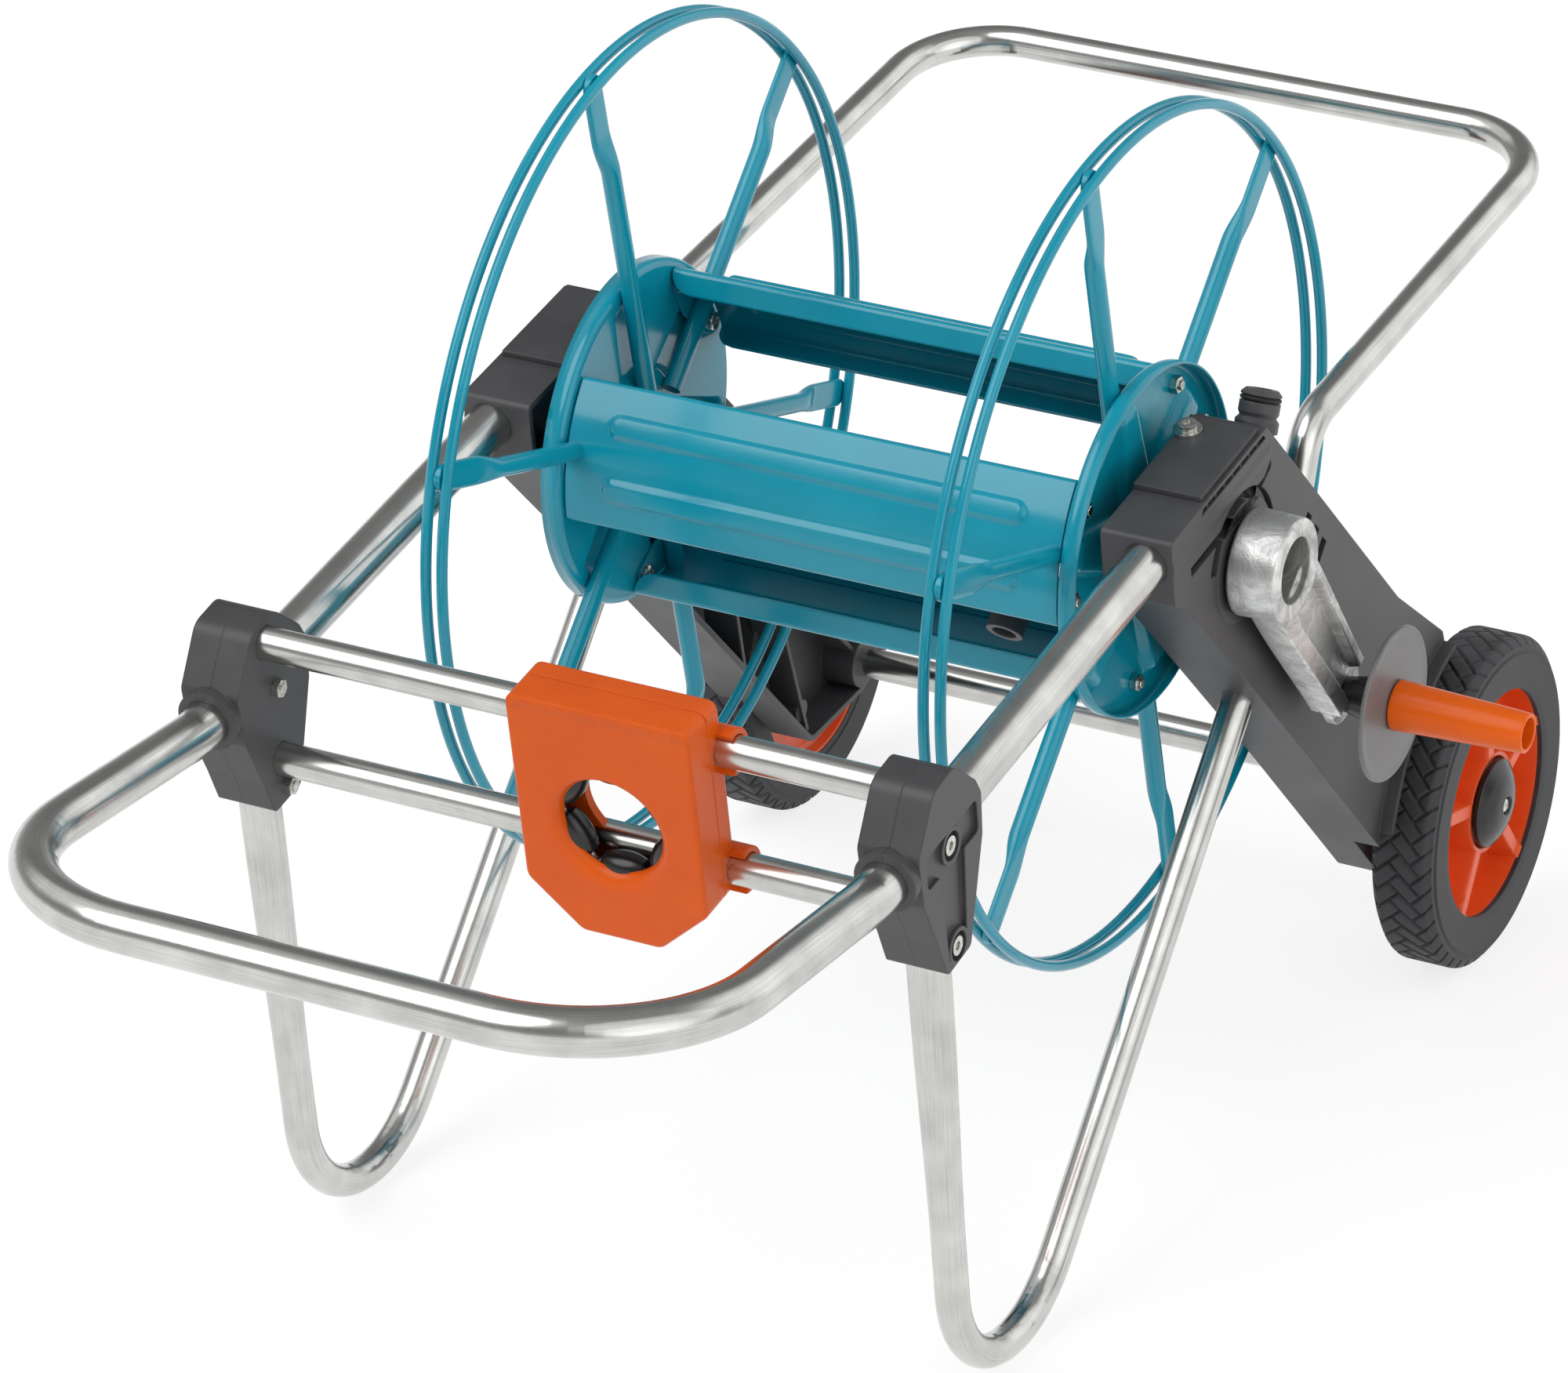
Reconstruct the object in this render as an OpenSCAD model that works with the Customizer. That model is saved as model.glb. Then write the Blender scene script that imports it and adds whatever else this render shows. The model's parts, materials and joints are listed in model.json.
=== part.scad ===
// Garden hose reel cart: a bent-tube frame on two wheels and two V legs, a wire-rimmed reel with a
// three-stave drum, a cast crank with a free-turning grip, and a roller hose guide on two crossbars.
// Millimetres. Shapes are written about the middle of the reel's axis: X across the cart towards the
// crank, Y rearwards to the wheels, Z up. from_reel() then sets the cart on the floor.

/* [Reel] */
// Radius of the centre line of the ring wires
ring_radius = 205; // [150:1:240]
// Radius of the ring wire
wire_radius = 2.65; // [2:0.05:3]
// From mid-reel to the middle of a pair of rings
ring_offset = 128.6; // [122:0.1:131]
// Half the spacing of the two wires of a pair
wire_half_spacing = 4.3; // [3.6:0.1:5]
// Spokes on each side
spoke_count = 6; // [3:3:6]
// Angle of the first spoke, from rearwards towards up
spoke_phase = 45; // [0:1:60]
// Radius of a spoke's rod
spoke_radius = 4.75; // [3:0.05:5.5]
// From mid-reel to the spokes' axes
spoke_offset = 126; // [120:0.1:128]
// Radius at which the spokes start
spoke_start = 24; // [22:0.5:30]
// Length of a spoke's flattened end
blade_length = 36; // [20:1:50]
// Width of a spoke's flattened end
blade_width = 14; // [10:0.5:20]

/* [Drum] */
// Outer radius of the staves
stave_radius = 81; // [70:0.5:90]
// Half the angle that one stave spans
stave_half_angle = 26; // [20:0.5:32]
// Depth of a stave's folded long edges
stave_lip = 12.5; // [8:0.5:16]
// Sheet thickness of staves and flanges
sheet = 1.2; // [0.8:0.1:2]
// Radius of the ribs pressed along a stave
stave_rib = 5.5; // [3:0.1:6]
// Angle between a stave's middle and each rib
stave_rib_angle = 11; // [9:0.5:14]
// From a stave's end to the start of its ribs
stave_rib_inset = 22; // [15:1:50]
// Depth of the tabs that fix a stave to the flange
tab_depth = 15; // [12:0.5:18]
// Angle between a stave's middle and each of its screws
stave_screw_angle = 17; // [14:0.5:19]
// Overall radius of the flanges
flange_radius = 85; // [83:0.5:95]
// How far the flange's rim turns outwards
flange_lip = 8.6; // [4:0.1:12]

/* [Shaft] */
// Outer radius of the hollow reel shaft
shaft_radius = 19; // [17:0.5:21]
// Bore radius of the hollow reel shaft
shaft_bore = 16; // [10:0.5:16]
// Outer radius of the spacer bushes
bush_radius = 26; // [23:0.5:30]
// From mid-reel to the hose outlet
outlet_offset = 84; // [40:1:100]
// Radius of the hose outlet's pipe
outlet_radius = 9; // [7:0.5:11]

/* [Frame tubes] */
// Radius of the front loop's tube
loop_tube = 11; // [9:0.5:12]
// Radius of the legs', handle's, axle's and crossbars' tubes
thin_tube = 8; // [7:0.5:8.5]
// Wall of all tubes
tube_wall = 1.5; // [1:0.1:2.5]
// From the middle plane to the strands on each side
strand_x = 172; // [170:0.5:174]
// Slope of the front loop's strands, in degrees
loop_slope = 10.6; // [8:0.1:12]
// Height of the loop's strands straight above the reel's axis
loop_height = 39.5; // [38:0.5:44]
// Rear end of the loop's strands inside the housings
loop_end = 18; // [10:1:20]
// Where the loop levels out, forward of the reel's axis
kink_reach = 345; // [342:1:360]
// Front bar of the loop, forward of the reel's axis
loop_reach = 535; // [480:1:640]
// Front bar of the loop, below the reel's axis
loop_drop = 17; // [0:1:30]
// Bend radius of the loop's front corners
loop_corner = 83; // [50:1:120]
// Floor, below the reel's axis
floor_drop = 323; // [315:1:335]
// Rear bar of the handle, behind the reel's axis
handle_reach = 396; // [330:1:460]
// Rear bar of the handle, above the reel's axis
handle_rise = 69.6; // [50:0.1:90]
// Bend radius of the handle's rear corners
handle_corner = 50; // [30:1:70]

/* [Clamps] */
// Clamp pair, forward of the reel's axis along the loop
clamp_distance = 305; // [290:1:312]
// Thickness of one clamp half
clamp_half = 15; // [12:0.5:16]
// Upper crossbar, above the loop's strand
upper_bar_w = 26; // [22:0.5:28]
// Lower crossbar, below the loop's strand
lower_bar_w = 38; // [34:0.5:38]
// Radius of the frame screws
screw_radius = 2.5; // [2:0.1:3]

/* [Housings] */
// Inner face of a housing, from the middle plane
housing_inner = 150; // [148:0.5:152]
// Outer face of a housing, from the middle plane
housing_outer = 186; // [184:0.5:188]
// Face of a housing behind its wheel, from the middle plane
housing_step = 172; // [168:0.5:173]
// Wall of the housings
housing_wall = 3.2; // [2.4:0.1:4]
// Outer edge of the wheel guard, from the middle plane
guard_outer = 193; // [188:0.5:200]

/* [Wheels] */
// Overall radius of a wheel
wheel_radius = 86; // [70:0.5:90]
// Wheel axle, behind the reel's axis
axle_reach = 268; // [262:1:275]
// Inner face of a wheel, from the middle plane
wheel_inner = 175; // [174:0.5:178]
// Width of a tyre
tyre_width = 35; // [28:0.5:40]
// Radius of the rim, inside the tyre
rim_radius = 62; // [52:0.5:66]
// Radius of the axle rod
axle_rod = 5; // [4:0.5:6]
// Radius of the hub caps
cap_radius = 23; // [19:0.5:26]
// Pockets between the rim's ribs
rim_ribs = 5; // [4:1:8]

/* [Crank] */
// Distance from the reel's axis to the grip's axis
crank_radius = 133; // [100:1:150]
// Direction of the crank arm, from rearwards towards up
crank_angle = -49.5; // [-90:0.5:0]
// Inner face of the crank's boss, from the middle plane
boss_start = 189; // [187:0.5:192]
// Length of the crank's boss
boss_length = 24.5; // [20:0.5:30]
// Outer radius of the crank's boss
boss_radius = 26; // [22:0.5:28]
// Width of the crank arm at the boss
arm_width = 42; // [34:1:46]
// Width of the arm's wide rail, on its lower side
rail_wide = 12; // [8:0.5:16]
// Width of the arm's thin rail, and the recess's depth
rail_thin = 5.5; // [4:0.5:8]
// Radius of the hand guard's disc
guard_disc = 38.5; // [28:0.5:44]
// Length of the grip
grip_length = 68; // [50:1:100]
// Radius of the grip at the guard
grip_radius = 12; // [11:0.5:15]
// Radius of the pin that the grip turns on
pin_radius = 5; // [4:0.5:5.5]

/* [Hose guide] */
// Middle of the guide at rest, towards the crank
guide_x = 31; // [-60:1:60]
// Width of the guide
guide_width = 92; // [88:1:110]
// Top of the guide, above the loop's strand
guide_top = 51; // [46:1:60]
// Bottom of the guide, below the loop's strand
guide_bottom = 72; // [62:1:80]
// Front face of the guide, forward of the clamps' middle
guide_front_u = 30; // [28:1:34]
// Seam between the guide's shells, forward of the clamps' middle
guide_seam_u = 12; // [11:0.5:13]
// Radius of the guide's mouth
mouth_radius = 25; // [22:0.5:26]
// Middle of the mouth, below the loop's strand
mouth_drop = 12; // [8:0.5:14]
// Distance of the rollers' axes from the mouth's middle
roller_ring = 27; // [26:0.5:28]
// Radius of a roller at its middle
roller_radius = 7.5; // [6:0.25:7.5]
// Length of a roller
roller_length = 22; // [16:0.5:22]

/* [Inlet] */
// Lean of the inlet rearwards, in degrees
inlet_lean = 20; // [10:1:30]
// Radius of the inlet's nose
nose_radius = 9.8; // [8:0.1:11]
// Length of the inlet's nose above its collar
nose_length = 17; // [12:0.5:22]
// Depth of the sealing ring's groove
groove_depth = 1.85; // [1:0.05:2.5]
// How far the sealing ring stands out of its groove
ring_proud = 0.15; // [0.05:0.05:0.2]

/* [Fits] */
// Radial clearance of running shafts
running_fit = 0.08; // [0.03:0.01:0.1]
// Radial clearance of the guide on its crossbars
sliding_gap = 0.3; // [0.2:0.05:0.5]
// End clearance between turning and fixed pieces
end_gap = 0.3; // [0.2:0.05:0.5]
// Hairline between a straight and a bend that isn't square
bend_seam = 0.02; // [0.01:0.01:0.05]
// Radial clearance of screws in their holes
screw_gap = 0.2; // [0.1:0.05:0.4]

/* [Hidden] */
$fn = 64;
over = 1;

// Reel
flange_face = spoke_offset + spoke_radius;
flange_back = flange_face + sheet;
stave_phase = spoke_phase;
stave_count = 3;
stave_end = flange_face - sheet;
stave_screw_r = stave_radius - tab_depth / 2;
nut_height = 4;
nut_radius = 4.6;
head_height = 3;
head_radius = 4.6;
bush_end = housing_inner - end_gap;

// Loop-strand frame: u runs rearwards along the strand, w is square to it and up
function strand_point(u, w) = [
    u * cos(loop_slope) - w * sin(loop_slope),
    loop_height + u * sin(loop_slope) + w * cos(loop_slope)
];
box_top = loop_tube + 3;
clamp_inner = strand_x - clamp_half;
clamp_outer = strand_x + clamp_half;
bar_u = -2.5;

// Legs
leg_top = strand_point(-clamp_distance - 3, -42);
leg_front_slope = 8.4;
leg_rear_slope = 47.7;
leg_end = [62, -52.6];
leg_in = [sin(leg_front_slope), -cos(leg_front_slope)];
leg_out = [cos(leg_rear_slope), sin(leg_rear_slope)];
leg_corner = line_cross(leg_top, leg_in, leg_end, leg_out);
leg_turn = acos(leg_in * leg_out);
leg_lift = unit(leg_out - leg_in).y / cos(leg_turn / 2);
leg_bend = (thin_tube - floor_drop - leg_corner.y) / (leg_lift - 1);

leg_cut = leg_bend * tan(leg_turn / 2);

// Handle
handle_base = [79, -36];
handle_knee = [101, 28.3];
handle_bend = 26;
handle_way = unit(handle_knee - handle_base);

// Wheels
axle_drop = floor_drop - wheel_radius;
wheel_outer = wheel_inner + tyre_width;
hub_start = housing_step + end_gap;
hub_end = wheel_outer - 5;
cap_start = hub_end + end_gap;
cap_end = wheel_outer + 5;
guard_radius = wheel_radius + 9;

// Crank and grip
boss_end = boss_start + boss_length;
collar_length = 12.5;
disc_start = boss_end + collar_length;
disc_thick = 3;
grip_start = disc_start + disc_thick + end_gap;
grip_end = grip_start + grip_length;

// Guide
clamp_u = -clamp_distance;
roller_u = -18.8;
hook_reach = guide_width / 2 + 8;
hook_width = 15;
hook_wall = 3.7;

// The cart's middle, from the reel's axis, so that it stands centred on the floor
middle_x = (grip_end - cap_end) / 2;
middle_y = (handle_reach + thin_tube - loop_reach - loop_tube) / 2;

// ---------- Vector helpers ----------
function unit(v) = v / norm(v);
function cross2(a, b) = a.x * b.y - a.y * b.x;
function line_cross(p, d, q, e) = p + d * cross2(q - p, e) / cross2(d, e);

// Corner points [y, z, radius] become arcs of flat steps
function fillet(a, b, c, radius, steps) =
    let (d = unit(b - a), e = unit(c - b), turn = acos(d * e), t = radius * tan(turn / 2))
    let (centre = b + unit(e - d) * radius / cos(turn / 2))
    let (from = b - d * t - centre, to = b + e * t - centre)
    [for (k = [0:steps]) centre
        + (from * sin(turn * (1 - k / steps)) + to * sin(turn * k / steps)) / sin(turn)];
function flat(p) = [p[0], p[1]];
function rounded(points, steps = 5) = [
    for (i = [0:len(points) - 1])
        let (n = len(points), a = points[(i + n - 1) % n], b = points[i], c = points[(i + 1) % n])
        each (b[2] > 0 ? fillet(flat(a), flat(b), flat(c), b[2], steps) : [flat(b)])
];
// Moves a counter-clockwise outline inwards by one distance
function inset(points, by) = [
    for (i = [0:len(points) - 1])
        let (n = len(points), a = flat(points[(i + n - 1) % n]), b = flat(points[i]))
        let (c = flat(points[(i + 1) % n]), d = unit(b - a), e = unit(c - b))
        let (p = [-d.y, d.x], q = [-e.y, e.x], moved = b + (p + q) * by / (1 + p * q))
        [moved.x, moved.y, max(points[i][2] - by, 0)]
];

// ---------- Placing helpers ----------
module from_reel() {
    translate([-middle_x, -middle_y, floor_drop])
        children();
}

module to_left() {
    mirror([1, 0, 0])
        children();
}

// Turns what is drawn along +Y to an angle about the reel's axis
module around(angle) {
    rotate([angle, 0, 0])
        children();
}

// Extrudes a [y, z] outline from one X to another
module across(x0, x1) {
    translate([x0, 0, 0])
        rotate([90, 0, 90])
            linear_extrude(x1 - x0)
                children();
}

module rod_x(x0, x1, radius) {
    translate([x0, 0, 0])
        rotate([0, 90, 0])
            cylinder(h = x1 - x0, r = radius);
}

module ring_x(x0, x1, outer, inner) {
    difference() {
        rod_x(x0, x1, outer);
        rod_x(x0 - over, x1 + over, inner);
    }
}

// Revolves a [radius, x] outline about X
module revolve_x() {
    rotate([0, 90, 0])
        rotate_extrude()
            children();
}

// Frame of the loop's strand at a distance u from the reel's axis
module on_strand(u) {
    translate([0, u * cos(loop_slope), loop_height + u * sin(loop_slope)])
        rotate([loop_slope, 0, 0])
            children();
}

module at_wheel() {
    translate([0, axle_reach, -axle_drop])
        children();
}

// A frame with its own origin, X and Z directions
module oriented(origin, x_way, z_way) {
    y_way = cross(z_way, x_way);
    multmatrix([
        [x_way.x, y_way.x, z_way.x, origin.x],
        [x_way.y, y_way.y, z_way.y, origin.y],
        [x_way.z, y_way.z, z_way.z, origin.z],
        [0, 0, 0, 1]
    ])
        children();
}

// ---------- Bent tubes ----------
module tube_section(radius) {
    difference() {
        circle(radius);
        circle(radius - tube_wall);
    }
}

// Runs of tube from here along +Z: each is [length, bend radius, turn towards +X, roll before it]
module tube_run(runs, radius, i = 0) {
    length = runs[i][0];
    bend = runs[i][1];
    turn = runs[i][2];
    from = i > 0 && runs[i - 1][2] != 90 ? bend_seam : 0;
    to = i < len(runs) - 1 && turn != 90 ? bend_seam : 0;
    translate([0, 0, from])
        linear_extrude(length - from - to)
            tube_section(radius);
    if (i < len(runs) - 1)
        translate([0, 0, length])
            rotate([0, 0, runs[i][3]])
                translate([bend, 0, 0]) {
                    rotate([-90, 0, 0])
                        rotate([0, 0, 180])
                            rotate_extrude(angle = turn)
                                translate([bend, 0])
                                    tube_section(radius);
                    rotate([0, turn, 0])
                        translate([-bend, 0, 0])
                            tube_run(runs, radius, i + 1);
                }
}

// A U of tube from a foot point [y, z]: foot, bend, strand, corner, cross bar and back
module hoop(foot, knee, far, bend, corner, radius) {
    start = knee - foot;
    heading = atan2(start.y, start.x);
    turn = acos(unit(start) * unit(far - knee));
    cut = bend * tan(turn / 2);
    strand = norm(far - knee) - cut - corner;
    translate([strand_x, foot.x, foot.y])
        rotate([heading - 90, 0, 0])
            rotate([0, 0, 90])
                tube_run([[norm(start) - cut, bend, turn, 0], [strand, corner, 90, 90],
                    [2 * (strand_x - corner), corner, 90, 0], [strand, bend, turn, -90],
                    [norm(start) - cut]], radius);
}

module bar_between(p, q, radius) {
    way = unit(q - p);
    side = unit(cross(way, abs(way.x) > 0.9 ? [0, 0, 1] : [1, 0, 0]));
    oriented(p, side, way)
        cylinder(h = norm(q - p), r = radius);
}

// ---------- Frame tubes ----------
loop_rear = strand_point(loop_end, 0);
loop_kink = [-kink_reach, loop_height - kink_reach * tan(loop_slope)];
loop_bend = 60;

// Clamp screw points [u, w] from the clamp's middle: through the loop's tube and through the leg
clamp_screw_points = [[0, 0], [-1.7, -53]];

module clamp_screw_holes() {
    on_strand(clamp_u)
        for (p = clamp_screw_points)
            translate([0, p.x, p.y])
                rod_x(clamp_inner - 10, clamp_outer + 10, screw_radius + screw_gap);
}

// Solid bars that cut the seats of the loop's strand, the leg's two ends and the handle's end
module loop_seat(u0, u1) {
    on_strand(u0)
        translate([strand_x, 0, 0])
            rotate([-90, 0, 0])
                cylinder(h = u1 - u0, r = loop_tube);
}

module side_bar(p, way, from, to, radius) {
    start = p + way * from;
    end = p + way * to;
    bar_between([strand_x, start.x, start.y], [strand_x, end.x, end.y], radius);
}

module both_sides() {
    children();
    to_left()
        children();
}

module front_loop() {
    color("silver")
        difference() {
            hoop(loop_rear, loop_kink, [-loop_reach, -loop_drop], loop_bend, loop_corner, loop_tube);
            both_sides()
                clamp_screw_holes();
        }
}

module leg() {
    difference() {
        translate([strand_x, leg_top.x, leg_top.y])
            rotate([leg_front_slope - 180, 0, 0])
                rotate([0, 0, -90])
                    tube_run([[norm(leg_corner - leg_top) - leg_cut, leg_bend, leg_turn, 0],
                        [norm(leg_end - leg_corner) - leg_cut]], thin_tube);
        clamp_screw_holes();
    }
}

module left_leg() {
    color("silver")
        to_left()
            leg();
}

module right_leg() {
    color("silver")
        leg();
}

module handle() {
    color("silver")
        hoop(handle_base, handle_knee, [handle_reach, handle_rise], handle_bend, handle_corner, thin_tube);
}

// Half length of each crossbar: the upper one goes deeper into the clamps than the lower one
upper_bar_end = strand_x - 2;
lower_bar_end = strand_x - thin_tube - 1;

module crossbar(half_length, w, radius) {
    on_strand(clamp_u)
        translate([0, bar_u, w])
            rod_x(-half_length, half_length, radius);
}

module upper_crossbar() {
    color("silver")
        difference() {
            crossbar(upper_bar_end, upper_bar_w, thin_tube);
            crossbar(upper_bar_end + over, upper_bar_w, thin_tube - tube_wall);
        }
}

module lower_crossbar() {
    color("silver")
        difference() {
            crossbar(lower_bar_end, -lower_bar_w, thin_tube);
            crossbar(lower_bar_end + over, -lower_bar_w, thin_tube - tube_wall);
        }
}

module axle_tube() {
    color("silver")
        at_wheel()
            ring_x(-housing_inner, housing_inner, thin_tube, thin_tube - tube_wall);
}

module axle_rod_bar() {
    color("silver")
        at_wheel()
            rod_x(-cap_start - 2, cap_start + 2, axle_rod);
}

// ---------- Clamps ----------
clamp_outline = [
    [-30, 12, 5], [-29, -14, 8], [-20, -40, 6], [-14, -61, 3], [9, -60, 3], [28, -12, 8],
    [30, 9, 6], [26, 18, 8], [8, 37, 9], [-12, 36, 9]
];

module clamp_body(x0, x1) {
    across(x0, x1)
        polygon(rounded(clamp_outline));
    translate([strand_x, 0, 0])
        rotate([90, 0, 0])
            intersection() {
                cylinder(h = 35, r = loop_tube + 4);
                translate([x0 - strand_x, -20, 29])
                    cube([x1 - x0, 40, 6]);
            }
}

module clamp_half_solid(x0, x1) {
    difference() {
        on_strand(clamp_u)
            clamp_body(x0, x1);
        loop_seat(clamp_u - 36, clamp_u + 31);
        side_bar(leg_top, leg_in, 0, 30, thin_tube);
        crossbar(upper_bar_end, upper_bar_w, thin_tube);
        crossbar(lower_bar_end, -lower_bar_w, thin_tube);
        clamp_screw_holes();
    }
}

clamp_pocket = 2.4;
cup_radius = 9;
cup_depth = 3.4;

// T-shaped pocket that follows the loop's tube and the leg, with a round cup for each screw head
module clamp_face_pocket() {
    on_strand(clamp_u) {
        difference() {
            across(clamp_outer - clamp_pocket, clamp_outer + over)
                polygon(rounded([[-24, 8.5, 3], [-24, -8.5, 3], [-13, -8.5, 0], [-11, -56, 2],
                    [6, -56, 2], [11, -8.5, 0], [25, -8.5, 3], [25, 8.5, 3]]));
            for (p = clamp_screw_points)
                translate([0, p.x, p.y])
                    rod_x(clamp_outer - clamp_pocket - over, clamp_outer + 2 * over, cup_radius);
        }
        for (p = clamp_screw_points)
            translate([0, p.x, p.y])
                rod_x(clamp_outer - cup_depth, clamp_outer + over, cup_radius - 2);
    }
}

module clamp_inner_half() {
    color("dimgray")
        clamp_half_solid(clamp_inner, strand_x);
}

module clamp_outer_half() {
    color("dimgray")
        difference() {
            clamp_half_solid(strand_x, clamp_outer);
            clamp_face_pocket();
        }
}

module left_clamp_inner() {
    to_left()
        clamp_inner_half();
}

module left_clamp_outer() {
    to_left()
        clamp_outer_half();
}

module right_clamp_inner() {
    clamp_inner_half();
}

module right_clamp_outer() {
    clamp_outer_half();
}

// A pan-head screw whose head sits at the high X end
module pan_screw_x(tip, seat) {
    rod_x(tip, seat, screw_radius);
    difference() {
        rod_x(seat, seat + head_height, head_radius);
        rod_x(seat + head_height - 1.6, seat + head_height + over, head_radius * 0.45);
    }
}

module hex_nut_x(x0) {
    translate([x0, 0, 0])
        rotate([0, 90, 0])
            difference() {
                cylinder(h = nut_height, r = nut_radius, $fn = 6);
                translate([0, 0, -over])
                    cylinder(h = nut_height + 2 * over, r = screw_radius);
            }
}

module clamp_screws() {
    color("silver")
        both_sides()
            on_strand(clamp_u)
                for (p = clamp_screw_points)
                    translate([0, p.x, p.y])
                        pan_screw_x(clamp_inner - nut_height - 1, clamp_outer - cup_depth);
}

module clamp_nuts() {
    color("silver")
        both_sides()
            on_strand(clamp_u)
                for (p = clamp_screw_points)
                    translate([0, p.x, p.y])
                        hex_nut_x(clamp_inner - nut_height);
}

// ---------- Housings ----------
box_front_top = strand_point(-78, box_top);
box_front_low = strand_point(-78.5, -21);
box_rear_top = strand_point(26, box_top);
housing_outline = [
    [box_front_top.x, box_front_top.y, 3], [box_front_low.x, box_front_low.y, 3], [-62, 1, 6],
    [81, -135, 30], [208, -259, 10], [axle_reach, -axle_drop - 16, 12],
    [axle_reach + 17, -axle_drop, 14], [243, -136, 4], [185, -94, 10],
    [box_rear_top.x, box_rear_top.y, 3]
];

// A flat rib between two points of the side view
module rib(p, q, x0, x1, thick) {
    way = q - p;
    across(x0, x1)
        translate(p)
            rotate(atan2(way.y, way.x))
                translate([0, -thick / 2])
                    square([norm(way), thick]);
}

module housing_shell() {
    difference() {
        across(housing_inner, housing_outer)
            polygon(rounded(housing_outline));
        at_wheel()
            rod_x(housing_step, housing_outer + over, guard_radius);
        difference() {
            across(housing_inner - over, housing_outer - housing_wall)
                polygon(rounded(inset(housing_outline, housing_wall)));
            at_wheel()
                rod_x(housing_step - housing_wall, housing_outer, guard_radius + housing_wall);
        }
    }
}

// Curved wall over the front of the tyre
guard_from = 104;
guard_to = 168;

module wheel_guard() {
    at_wheel()
        intersection() {
            ring_x(housing_step - housing_wall, guard_outer, guard_radius + housing_wall, guard_radius);
            across(housing_step - housing_wall, guard_outer)
                polygon([[0, 0], 130 * [cos(guard_from), sin(guard_from)],
                    150 * [cos((guard_from + guard_to) / 2), sin((guard_from + guard_to) / 2)],
                    130 * [cos(guard_to), sin(guard_to)]]);
        }
}

bulge_radius = loop_tube + 3.5;
bearing_radius = 30;

module housing_fillings() {
    // Socket of the loop's tube, which stands a little proud of the outer face
    intersection() {
        on_strand(-78)
            translate([strand_x, 0, 0])
                rotate([-90, 0, 0])
                    cylinder(h = 106, r = bulge_radius);
        across(housing_inner, housing_outer + 3)
            polygon(rounded(housing_outline));
    }
    // Sockets of the leg and the handle
    intersection() {
        union() {
            side_bar(leg_end, leg_out, -70, 5, thin_tube + 3);
            side_bar(handle_base, handle_way, -5, 52, thin_tube + 3);
        }
        across(housing_inner, housing_outer)
            polygon(rounded(housing_outline));
    }
    // Bearing of the reel's shaft and boss of the axle
    rod_x(housing_inner, housing_outer + 1, bearing_radius);
    at_wheel()
        rod_x(housing_inner, housing_step, 14);
    translate([0, 205, -240])
        rod_x(housing_inner + 4, housing_step, 6);
}

module housing_ribs() {
    x0 = housing_inner + 2;
    x1 = housing_step - 1;
    rib([20, -18], [118, -100], x0, x1, 2.4);
    rib([26, 2], [160, -76], x0, x1, 2.4);
    rib([4, -28], [86, -136], x0, x1, 2.4);
    rib([118, -100], [262, -230], x0, x1, 2.4);
    rib([118, -100], [208, -122], x0, x1, 2.4);
    rib([118, -100], [140, -188], x0, x1, 2.4);
    rib([166, -143], [232, -140], x0, x1, 2.4);
    rib([166, -143], [208, -252], x0, x1, 2.4);
    rib([-28, -8], [-66, 4], x0, x1, 2.4);
}

inlet_foot = [37, 35];
inlet_way = [sin(inlet_lean), cos(inlet_lean)];
inlet_pipe = 8;

module at_inlet() {
    translate([strand_x, inlet_foot.x, inlet_foot.y])
        rotate([-inlet_lean, 0, 0])
            children();
}

// Slots above and below the tube's bulge, and a ring groove round the crank's boss
module housing_face_cuts() {
    deep = 6;
    on_strand(0) {
        across(housing_outer - deep, housing_outer + over)
            polygon([[-46, 9], [24, 9], [22, 12], [-44, 12]]);
        across(housing_outer - deep, housing_outer + over)
            polygon(rounded([[-60, -10.5, 0], [-60, -15.5, 0], [12, -15.5, 2], [28, -9, 2], [28, -5, 0],
                [20, -10, 0]]));
    }
    difference() {
        ring_x(housing_outer - 4, housing_outer + 3, bearing_radius + 5, bearing_radius);
        across(housing_outer - 5, housing_outer + 4)
            polygon([[0, 0], [80, 10], [80, -120], [-80, -120], [-80, 10]]);
    }
    // Pockets beside the handle's channel
    for (p = [[74, -8], [83, -18], [92, -28]])
        across(housing_outer - 8, housing_outer + over)
            translate(p)
                rotate(-43)
                    translate([-3.5, -14])
                        square([7, 16]);
}

module housing_slot_ribs() {
    on_strand(0)
        for (u = [-38:9:18])
            translate([housing_outer - 6, u, 8.5])
                cube([5, 1.4, 4]);
}

module housing(with_inlet) {
    color("dimgray")
        difference() {
            union() {
                difference() {
                    union() {
                        housing_shell();
                        wheel_guard();
                        housing_fillings();
                        housing_ribs();
                    }
                    housing_face_cuts();
                }
                housing_slot_ribs();
            }
            loop_seat(-84, loop_end);
            side_bar(leg_end, leg_out, -75, 0, thin_tube);
            side_bar(handle_base, handle_way, 0, 52, thin_tube);
            rod_x(housing_inner - over, housing_outer + 5, shaft_radius + running_fit);
            at_wheel()
                rod_x(housing_inner - over, housing_step + over, axle_rod);
            on_strand(6)
                translate([cover_screw_x, 0, box_top - 12])
                    cylinder(h = 20, r = screw_radius);
            if (with_inlet)
                at_inlet()
                    translate([0, 0, -10])
                        cylinder(h = 30, r = inlet_pipe);
        }
}

module left_housing() {
    to_left()
        housing(false);
}

module right_housing() {
    housing(true);
}

// ---------- Cover plates ----------
cover_screw_x = housing_inner + 5;
plate_thick = 3;

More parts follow.
